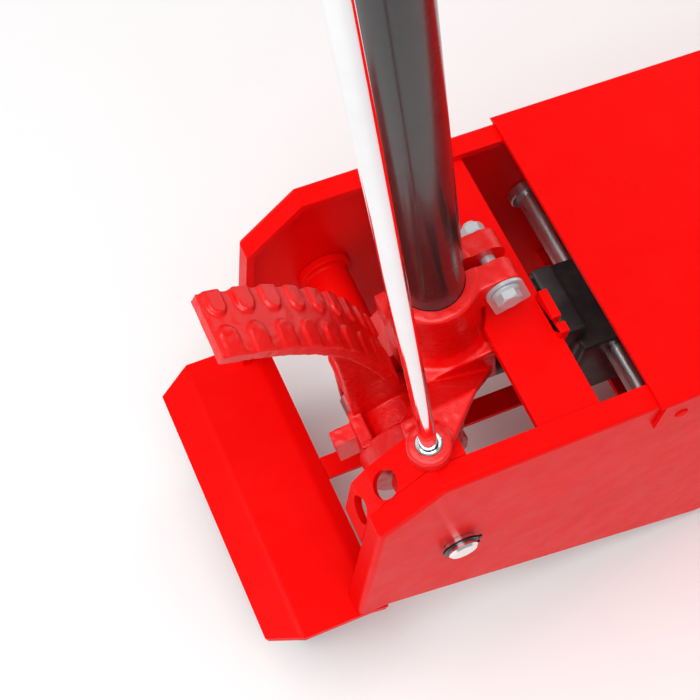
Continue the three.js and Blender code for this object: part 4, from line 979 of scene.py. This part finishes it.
def make_handle_socket():
    body = cast_form(socket_solids(), 1.1, 7)
    roughened(body, 0.35, 5.0, 3)
    cutters = [
        block(OFFSET, CLAMP[0] + 20, -4, 4, COLLAR_TOP - 44, COLLAR_TOP + 5),
        bar("z", 92, COLLAR_TOP + 5, TUBE_R + 0.35, (OFFSET, 0), 96),
        bar("z", 10, 94, 7, (OFFSET, 0), 48),
        bar("y", -26, 26, BOLT_HOLE, CLAMP, 48),
        bar("y", -80, 60, AXLE_BORE, (0, 0), 72),
        bar("z", LUG_LOW - 5, LUG_TOP + 5, 8.6, (0, LOCK_Y), 64),
        bar("y", -10, 60, 6.3, roller_centre(), 40),
    ]
    carve(body, *cutters)
    finish_piece(smooth_shaded(body, 50, False), "handle_socket", HANDLE_AT)


def make_clamp():
    tab_low, tab_high = -22.3, -20.3
    tilt = math.radians(12)
    down = Vector((math.sin(tilt), -math.cos(tilt)))
    across = Vector((math.cos(tilt), math.sin(tilt))) * 13
    centre = Vector(CLAMP)
    foot = centre + down * 27
    outline = [centre - across, foot - across, foot + across, centre + across]
    outline = eased([tuple(p) for p in outline], 3.0, 4, closed=True)
    tab = weld(side_prism(outline, tab_low, tab_high), bar("y", tab_low, tab_high, 13, CLAMP, 64))
    dimple_at = centre + down * 19
    dimple = bar("y", tab_low - 1, tab_low + 1.2, 1.8, tuple(dimple_at), 24)
    carve(tab, bar("y", tab_low - 1, tab_high + 1, BOLT_HOLE, CLAMP, 40), dimple)
    finish_piece(smooth_shaded(ease_edges(tab, 0.35)), "clamp_lock_tab", HANDLE_AT)
    seat = -22.6
    washer = turned([(0, seat), (10, seat), (10, seat - 0.9), (8.4, seat - 2.2), (0, seat - 2.2)], "y", CLAMP, 64)
    shank = turned([(0, seat - 1), (5, seat - 1), (5, 31), (4.2, 32), (0, 32)], "y", CLAMP, 48)
    head = hex_head("y", seat - 1.2, seat - 8, 15, CLAMP)
    bolt = merged([ease_edges(weld(washer, head), 0.35), shank])
    finish_piece(smooth_shaded(bolt, 40), "clamp_bolt", HANDLE_AT)
    seat = 20.3
    washer = turned([(0, seat), (10, seat), (10, seat + 0.9), (8.4, seat + 2.2), (0, seat + 2.2)], "y", CLAMP, 64)
    nut = weld(washer, hex_head("y", seat + 1.2, seat + 9, 15, CLAMP))
    carve(nut, bar("y", seat - 1, seat + 12, BOLT_HOLE, CLAMP, 40))
    finish_piece(smooth_shaded(ease_edges(nut, 0.35)), "clamp_nut", HANDLE_AT)


def make_pump_roller():
    low, high = handle_span("pump_roller")
    centre = roller_centre()
    ring = [(6.4, low.y), (16, low.y), (17, low.y + 1), (17, high.y - 1), (16, high.y), (6.4, high.y)]
    finish_piece(smooth_shaded(turned(ring, "y", centre, 80)), "pump_roller", HANDLE_AT)
    low, high = handle_span("pump_roller_pin")
    pin = [(0, low.y), (5, low.y), (6, low.y + 1), (6, high.y - 1), (5, high.y), (0, high.y)]
    finish_piece(smooth_shaded(turned(pin, "y", centre, 64)), "pump_roller_pin", HANDLE_AT)


def make_handle_tube():
    low, high = handle_span("handle_tube")
    wall = TUBE_R - 3
    profile = [(wall, low.z), (TUBE_R, low.z), (TUBE_R, high.z), (wall, high.z)]
    finish_piece(smooth_shaded(turned(profile, "z", (OFFSET, 0), 128)), "handle_tube", HANDLE_AT)


def make_crossbar():
    high = handle_span("handle_crossbar")[1]
    top = high.z - 15
    end = high.y
    bar_body = turned([(0, -end), (13.5, -end), (15, 1.5 - end), (15, end - 1.5), (13.5, end), (0, end)],
                      "y", (OFFSET, top), 96)
    cup = turned([(0, top - 37), (TUBE_R + 2.6, top - 37), (TUBE_R + 4, top - 35), (TUBE_R + 4, top - 5),
                  (TUBE_R - 4, top + 3), (0, top + 3)], "z", (OFFSET, 0), 96)
    body = cast_form([bar_body, cup], 1.4, 3)
    carve(body, bar("z", top - 40, top - 15, TUBE_R + 0.3, (OFFSET, 0), 96),
          bar("z", top - 20, top + 20, 6, (OFFSET, 0), 48))
    finish_piece(smooth_shaded(body, 45, False), "handle_crossbar", HANDLE_AT)


def make_grips():
    """Ribbed sleeves with a raised collar at the inner end and a closed outer end."""
    for side, name in ((-1, "grip_left"), (1, "grip_right")):
        low, high = handle_span(name)
        centre = (OFFSET, (low.z + high.z) / 2)
        inner, outer = (high.y, low.y) if side < 0 else (low.y, high.y)
        length = abs(outer - inner)

        def at(distance):
            return inner + side * distance

        radius = (high.z - low.z) / 2
        profile = [(15.3, at(0)), (radius, at(0)), (radius, at(5)), (radius - 1.2, at(6.5))]
        ribs = 16
        pitch = (length - 18) / ribs
        for i in range(ribs):
            start = 8 + i * pitch
            profile += [(radius - 1.2, at(start)), (radius - 0.1, at(start + 0.3 * pitch)),
                        (radius - 0.1, at(start + 0.6 * pitch)), (radius - 1.2, at(start + 0.9 * pitch))]
        profile += [(radius - 1.2, at(length - 8)), (radius - 1.6, at(length - 3)), (radius - 5, at(length)),
                    (0, at(length)), (0, at(length - 5)), (15.3, at(length - 5))]
        profile = [(0.0, at(length - 5)), *profile[-1:], *profile[:-3], (0.0, at(length))]
        finish_piece(smooth_shaded(turned(profile, "y", centre, 64), 50), name, HANDLE_AT)


def make_release_control():
    low, high = handle_span("release_rod")
    profile = [(0, low.z), (4, low.z), (5, low.z + 1), (5, high.z), (0, high.z)]
    finish_piece(smooth_shaded(turned(profile, "z", (OFFSET, 0), 48)), "release_rod", HANDLE_AT)
    low, high = handle_span("release_knob")
    body = turned([(5.3, low.z), (16, low.z), (20.6, low.z + 4), (20.6, high.z - 6), (17, high.z - 1.4),
                   (12, high.z), (0, high.z), (0, high.z - 4), (5.3, high.z - 4)], "z", (OFFSET, 0), 96)
    flutes = [bar("z", low.z - 1, high.z + 1, 2.0, (OFFSET + 21.6 * math.cos(a), 21.6 * math.sin(a)), 20)
              for a in (2 * math.pi * i / 18 for i in range(18))]
    finish_piece(smooth_shaded(ease_edges(carve(body, *flutes), 0.5)), "release_knob", HANDLE_AT)


def make_lock_rod():
    low, high = handle_span("lock_rod")
    profile = [(0, low.z), (ROD_R - 1, low.z), (ROD_R, low.z + 2), (ROD_R, high.z - 1), (ROD_R - 1, high.z),
               (0, high.z)]
    finish_piece(smooth_shaded(turned(profile, "z", (0, LOCK_Y), 96)), "lock_rod", HANDLE_AT)
    low, high = handle_span("lock_knob")
    ball = [(5.9, low.z), (9, low.z), (12.5, low.z + 4), (15.4, low.z + 9), (17, low.z + 16), (16, low.z + 22),
            (12.5, low.z + 28), (7, high.z - 1), (0, high.z), (0, low.z + 13), (5.9, low.z + 13)]
    finish_piece(smooth_shaded(turned(ball, "z", (0, LOCK_Y), 64), 50), "lock_knob", HANDLE_AT)


def make_lock_bush():
    low, high = handle_span("lock_bush")
    radius = (high.y - low.y) / 2
    profile = [(6.0, low.z), (radius - 0.6, low.z), (radius, low.z + 0.6), (radius, high.z - 0.9),
               (radius - 0.9, high.z), (6.5, high.z), (6.0, high.z - 0.5)]
    finish_piece(smooth_shaded(turned(profile, "z", (0, LOCK_Y), 96)), "lock_bush", HANDLE_AT)


def make_lock_guide():
    low, high = handle_span("lock_rod_guide")
    centre = (low.z + high.z) / 2
    band = bar("z", low.z, high.z, TUBE_R + 5, (OFFSET, 0), 96)
    eye = bar("z", low.z, high.z, ROD_R + 6, (0, LOCK_Y), 64)
    web = hull_solid([(x, y, z) for z in (centre - 4, centre + 4)
                      for x, y in ((OFFSET - 12, -TUBE_R), (OFFSET + 8, -TUBE_R), (-6, LOCK_Y), (6, LOCK_Y))])
    body = carve(weld(band, eye, web), bar("z", low.z - 1, high.z + 1, TUBE_R + 0.3, (OFFSET, 0), 96),
                 bar("z", low.z - 1, high.z + 1, ROD_R + 0.4, (0, LOCK_Y), 48))
    finish_piece(smooth_shaded(ease_edges(body, 1.0, 3)), "lock_rod_guide", HANDLE_AT)


# ------------------------------------------------------------------ foot pedal
PEDAL_Y = -10.0
PEDAL_WIDTH = 44.0
PEDAL_THICK = 8.0
PEDAL_NEAR, PEDAL_FAR = -57.5, -2  # ends of the hub
PEDAL_LINE = [(4, 106), (-5, 140), (-18, 172), (-38, 201), (-62, 224), (-90, 243)]
PEDAL_PADS = 9


def spline_points(knots, count):
    """Points and tangents evenly along a smooth line through knots."""
    dense = []
    padded = [knots[0], *knots, knots[-1]]
    for i in range(1, len(padded) - 2):
        a, b, c, d = (Vector(padded[k]) for k in (i - 1, i, i + 1, i + 2))
        for k in range(24):
            t = k / 24
            dense.append(0.5 * (2 * b + (c - a) * t + (2 * a - 5 * b + 4 * c - d) * t * t
                                + (3 * b - a - 3 * c + d) * t ** 3))
    dense.append(Vector(knots[-1]))
    lengths = [0.0]
    for first, second in zip(dense, dense[1:]):
        lengths.append(lengths[-1] + (second - first).length)
    made = []
    for k in range(count):
        want = lengths[-1] * k / (count - 1)
        i = max(j for j in range(len(lengths)) if lengths[j] <= want + 1e-9)
        i = min(i, len(dense) - 2)
        share = (want - lengths[i]) / (lengths[i + 1] - lengths[i])
        run = (dense[i + 1] - dense[i]).normalized()
        made.append((dense[i].lerp(dense[i + 1], share), run))
    return made


def tread_solid():
    line = spline_points(PEDAL_LINE, 40)
    upper = [tuple(p) for p, run in line]
    lower = [tuple(p + Vector((-run.y, run.x)) * PEDAL_THICK) for p, run in line]
    return side_prism(upper + lower[::-1], PEDAL_Y - PEDAL_WIDTH / 2, PEDAL_Y + PEDAL_WIDTH / 2)


def pad_solid(point, run, side, wide, rise, fade, inner, over):
    """A raised rib across half of the tread, round at its inner end and lower towards its outer one."""
    out = Vector((run.y, -run.x))
    start, end = PEDAL_Y + side * inner, PEDAL_Y + side * (PEDAL_WIDTH / 2 + over)
    arc = arc_points(0, 0, wide / 2, 90, 270, 10)
    outline = [(start + side * (wide / 2 + a), b) for a, b in arc] + [(end, -wide / 2), (end, wide / 2)]
    base, top = [], []
    for y, along in outline:
        at = point + run * along
        base.append((at.x - out.x * 2, y, at.y - out.y * 2))
        height = rise * (1 - fade * abs(y - start) / abs(end - start))
        at = point + run * along * 0.8 + out * height
        top.append((at.x, y, at.y))
    return extruded(base, top)


def pedal_hub_solids():
    """The hub's barrel, its two cheeks, the wall behind them, the stop and the web up to the tread."""
    rim = [*arc_points(0, 0, 32, 140, 400, 20), (7, 46), (-11, 50), (-30, 45)]
    web = eased([(-30, 10), (9, 20), (9.5, 45), (8, 75), (1, 104), (-9, 140), (-22, 170), (-31, 150),
                 (-28.5, 118), (-28, 74)], 4, 3, closed=True)
    barrel = bar("y", PEDAL_NEAR, PEDAL_FAR, 26, (0, 0))
    near_cheek = bar("y", PEDAL_NEAR, -36, 38, (0, 0))
    far_cheek = side_prism(rim, -13, PEDAL_FAR)
    wall = block(-33, -24, -38, -11, -26, 26)
    stop = block(-50, -30, -26, -14, -14, 19)
    return [barrel, near_cheek, far_cheek, side_prism(web, -13, -2.5), wall, stop]


def make_foot_pedal():
    line = spline_points(PEDAL_LINE, 2 * PEDAL_PADS + 1)
    spots = [line[2 * i + 1] for i in range(PEDAL_PADS)]
    far = [pad_solid(*spot, 1, 13.5, 2.6, 0.1, 5.5, 0.8) for spot in spots]
    near = [pad_solid(*spot, -1, 13.0, 2.4, 0.75, 2.0, -0.5) for spot in spots]
    body = cast_form([*pedal_hub_solids(), tread_solid(), *far, *near], 1.0, 4)
    roughened(body, 0.3, 5.0, 8)
    carve(body, bar("y", -60, 0, AXLE_BORE, (0, 0), 72))
    finish_piece(smooth_shaded(body, 50, False), "foot_pedal", HANDLE_AT)


# ------------------------------------------------------------------ lift arm and saddle
ARM_AT = AXLE_AT @ Matrix.Translation((PIVOT[0], 0, PIVOT[1])) @ Matrix.Rotation(DROOP, 4, "Y")
ARM_LENGTH = 430.0
ARM_GAP, ARM_OUTER = 50.0, 62.0  # inner and outer faces of its cheeks
TIE_DROP = 45.0  # tie rod under the arm's pivots


def thrust_local():
    angle = 1.5 * math.pi + DROOP - HALF_LIFT
    return THRUST_ARM * math.cos(angle), THRUST_ARM * math.sin(angle)


def make_lift_arm():
    tx, tz = thrust_local()
    cheeks = []
    for y0, y1 in ((-ARM_OUTER, -ARM_GAP), (ARM_GAP, ARM_OUTER)):
        parts = [linked((0, 0), (70, 2), 45, 44, y0, y1), linked((70, 2), (ARM_LENGTH, 0), 44, 24, y0, y1),
                 linked((0, 0), (tx, tz), 40, 24, y0, y1)]
        cheeks.append(weld(*parts))
    lid = block(75, ARM_LENGTH - 92, -ARM_GAP - 2, ARM_GAP + 2, 18, 26)
    boss = bar("y", -ARM_OUTER, ARM_OUTER, 30, (0, 0))
    body = weld(cheeks[0], cheeks[1], lid, boss)
    carve(body, bar("y", -70, 70, radius_of("arm_shaft") + 0.4, (0, 0)),
          bar("y", -70, 70, radius_of("thrust_pin") + GAP, (tx, tz)),
          bar("y", -70, 70, radius_of("saddle_pin") + 0.4, (ARM_LENGTH, 0)))
    finish_piece(smooth_shaded(ease_edges(body, 1.2, 3)), "lift_arm", ARM_AT)


def make_tie_rod():
    low, high = span("tie_rod")
    first = (PIVOT[0], PIVOT[1] - TIE_DROP)
    second = (SADDLE_PIN[0], SADDLE_PIN[1] - TIE_DROP)
    rod = weld(linked(first, second, 9, 9, low.y + 1, high.y - 1), bar("y", low.y, high.y, 15, first),
               bar("y", low.y, high.y, 15, second))
    carve(rod, bar("y", low.y - 1, high.y + 1, 8.4, first), bar("y", low.y - 1, high.y + 1, 8.4, second))
    finish_piece(smooth_shaded(ease_edges(rod, 1.0, 3)), "tie_rod")


def make_saddle_parts():
    x, z = SADDLE_PIN
    half = 42.0
    low, high = span("saddle_bracket")
    tie = (x, z - TIE_DROP)
    ears = [linked((x, z), tie, 24, 15, y0, y0 + 9) for y0 in (-half, half - 9)]
    top = block(x - 30, x + 30, -half, half, z + 20, high.z)
    pin = bar("y", low.y, half, 8, tie)
    bracket = carve(weld(*ears, top, pin), bar("y", -half - 1, half + 1, 11.4, (x, z)))
    finish_piece(smooth_shaded(ease_edges(bracket, 1.2, 3)), "saddle_bracket")
    low, high = span("saddle")
    rim = (high.x - low.x) / 2
    floor = high.z - 4
    dish = turned([(0, low.z), (rim - 7, low.z), (rim - 1, low.z + 4), (rim, low.z + 7), (rim, high.z - 1),
                   (rim - 1, high.z), (rim - 6, high.z), (rim - 8.6, floor), (0, floor)], "z", (x, 0), 96)
    notches = [block(x - rim - 2, x + rim + 2, -9, 9, floor + 0.01, floor + 8),
               block(x - 9, x + 9, -rim - 2, rim + 2, floor + 0.01, floor + 8)]
    finish_piece(smooth_shaded(ease_edges(carve(dish, *notches), 0.9, 3)), "saddle")
    low, high = span("saddle_pad")
    radius = (high.x - low.x) / 2
    pad = [(0, low.z), (radius, low.z), (radius, high.z - 1.4), (radius - 1.4, high.z), (0, high.z)]
    disc = turned(pad, "z", (x, 0), 96)
    grooves = [block(x - radius - 1, x + radius + 1, y - 1.2, y + 1.2, high.z - 1.6, high.z + 1)
               for y in (-24, -12, 12, 24)]
    grooves += [block(x + d - 1.2, x + d + 1.2, -radius - 1, radius + 1, high.z - 1.6, high.z + 1)
                for d in (-24, -12, 12, 24)]
    finish_piece(smooth_shaded(ease_edges(carve(disc, *grooves), 0.4)), "saddle_pad")


# ------------------------------------------------------------------ wheels
def dished_wheel(axis, low, high, radius, centre, hub, bore, dish, tread=3.0):
    """A cast wheel: rounded tread, a dished face each side, and a hub."""
    def side(inner, out):
        return [(bore, inner), (hub - 1, inner), (hub, inner + out), (hub + 1.5, inner + out * dish),
                (radius - 13.5, inner + out * dish), (radius - 11, inner + out), (radius - 10, inner),
                (radius - tread, inner), (radius - tread * 0.3, inner + out * tread * 0.3),
                (radius, inner + out * tread)]
    profile = side(low, 1) + side(high, -1)[::-1]
    return turned(profile, axis, centre, 96)


def make_front_wheels():
    for side, hand in ((-1, "left"), (1, "right")):
        low, high = span(f"front_wheel_{hand}")
        wheel = dished_wheel("y", low.y, high.y, 75, FRONT_AXLE, 27, 15.4, 9)
        holes = [bar("y", low.y - 1, high.y + 1, 7, (FRONT_AXLE[0] + 44 * math.cos(a),
                                                   FRONT_AXLE[1] + 44 * math.sin(a)), 40)
                 for a in (2 * math.pi * i / 5 for i in range(5))]
        finish_piece(smooth_shaded(ease_edges(carve(wheel, *holes), 0.6)), f"front_wheel_{hand}")
        low, high = span(f"wheel_cap_{hand}")
        inner, outer = (high.y, low.y) if side < 0 else (low.y, high.y)
        out = 1 if outer > inner else -1
        cap = [(15.3, inner), (20, inner), (21, inner + out), (21, outer - 2.5 * out), (18.5, outer), (0, outer),
               (0, outer - 2 * out), (15.3, outer - 2 * out)]
        finish_piece(smooth_shaded(turned(cap, "y", FRONT_AXLE, 72)), f"wheel_cap_{hand}")


def make_casters():
    top = span("caster_plate")[1].z
    for side, hand in ((-1, "left"), (1, "right")):
        turn = math.pi if side < 0 else 0.0
        place = AXLE_AT @ Matrix.Translation((CASTER_X, side * CASTER_Y, 0)) @ Matrix.Rotation(turn, 4, "Z")
        make_caster(hand, place, top)


def make_caster(hand, place, top):
    under = top - PLATE - CASTER_BOSS - GAP
    deck_top = under - 6
    axle = (-30.0, FLOOR + 42)
    leg_x = 15.5
    race = turned([(0, deck_top), (18, deck_top), (20, deck_top + 1.5), (20, under - 1), (18.5, under), (0, under)],
                  "z", (0, 0), 72)
    deck = block(-21.5, 21.5, -34, 22, deck_top - 6, deck_top + 1)
    legs = [hull_solid([(px, y, z) for px in (x, x + 6) for y, z in (
        (-34, deck_top), (18, deck_top), (axle[0] - 13, axle[1] - 8), (axle[0] + 13, axle[1] - 8))])
        for x in (leg_x, -leg_x - 6)]
    kingpin = bar("z", deck_top, under + 8, 7, (0, 0), 48)
    body = carve(weld(race, deck, *legs, kingpin), bar("x", -60, 60, 6.3, axle, 40))
    finish_piece(smooth_shaded(ease_edges(body, 1.0, 3)), f"caster_fork_{hand}", place)
    wheel = dished_wheel("x", -13, 13, 42, axle, 13, 6.4, 4, 2.5)
    finish_piece(smooth_shaded(ease_edges(wheel, 0.5)), f"caster_wheel_{hand}", place)
    face = 21.8
    pin = turned([(0, -face - 2), (6, -face - 2), (6, face + 2), (0, face + 2)], "x", axle, 48)
    heads = [ease_edges(hex_head("x", side * face, side * (face + 6), 17, axle), 0.4) for side in (-1, 1)]
    finish_piece(smooth_shaded(merged([pin, *heads]), 40), f"caster_axle_{hand}", place)


# ------------------------------------------------------------------ studio
def make_floor():
    bm = bmesh.new()
    bmesh.ops.create_grid(bm, x_segments=1, y_segments=1, size=12)
    floor = object_from(bm, "studio_floor")
    material, tree, shader = start_material("studio_floor", Roughness=0.7)
    tone = remap(tree, noise_value(tree, 3.0), 0.3, 0.7, 0.88, 0.9)
    colour = node(tree, "ShaderNodeCombineColor", [("Red", tone), ("Green", tone), ("Blue", tone)])
    tree.links.new(colour.outputs["Color"], shader.inputs["Base Color"])
    floor.data.materials.append(material)


def area_light(name, offset, target, size, power, colour=(1, 1, 1)):
    light = bpy.data.lights.new(name, "AREA")
    light.shape = "RECTANGLE"
    light.size, light.size_y = size
    light.energy = power
    light.color = colour
    made = bpy.data.objects.new(name, light)
    bpy.context.scene.collection.objects.link(made)
    made.location = AXLE + Vector(offset)
    aim = AXLE + Vector(target) - made.location
    made.rotation_euler = aim.to_track_quat("-Z", "Y").to_euler()


def make_lights():
    world = bpy.data.worlds.new("studio")
    world.use_nodes = True
    world.node_tree.nodes["Background"].inputs["Color"].default_value = (1, 1, 1, 1)
    world.node_tree.nodes["Background"].inputs["Strength"].default_value = 0.42
    bpy.context.scene.world = world
    area_light("overhead", (-0.9, -0.45, 2.3), (0.1, 0, 0), (2.4, 2.0), 72)
    area_light("front_fill", (2.2, 1.0, 1.2), (0.4, 0, 0), (1.5, 1.5), 9)


def make_camera():
    camera = bpy.data.cameras.new("studio_camera")
    camera.lens = CAMERA_LENS
    camera.clip_start = 0.01
    made = bpy.data.objects.new("studio_camera", camera)
    bpy.context.scene.collection.objects.link(made)
    right = Vector(CAMERA_RIGHT).normalized()
    back = -Vector(CAMERA_AHEAD).normalized()
    up = back.cross(right).normalized()
    turn = Matrix((right, up, back)).transposed().to_4x4()
    made.matrix_world = Matrix.Translation(AXLE + Vector(CAMERA_AT) * MM) @ turn
    bpy.context.scene.camera = made


def make_jack():
    make_side_plates()
    make_lock_quadrant()
    make_caster_plate()
    make_centre_strut()
    make_cross_plate()
    make_top_cover()
    make_cover_screws()
    make_front_tie()
    make_shafts()
    make_unit_pin()
    make_circlips()
    make_axle_spacer()
    make_torsion_spring()
    make_tie_anchor()
    make_hydraulic_block()
    make_reservoir()
    make_release_valve()
    make_pump_plunger()
    make_ram()
    make_crosshead()
    make_handle_socket()
    make_clamp()
    make_pump_roller()
    make_handle_tube()
    make_crossbar()
    make_grips()
    make_release_control()
    make_lock_rod()
    make_lock_bush()
    make_lock_guide()
    make_foot_pedal()
    make_lift_arm()
    make_tie_rod()
    make_saddle_parts()
    make_front_wheels()
    make_casters()


make_camera()
make_lights()
make_floor()
make_jack()
bpy.context.scene.view_settings.view_transform = "Standard"
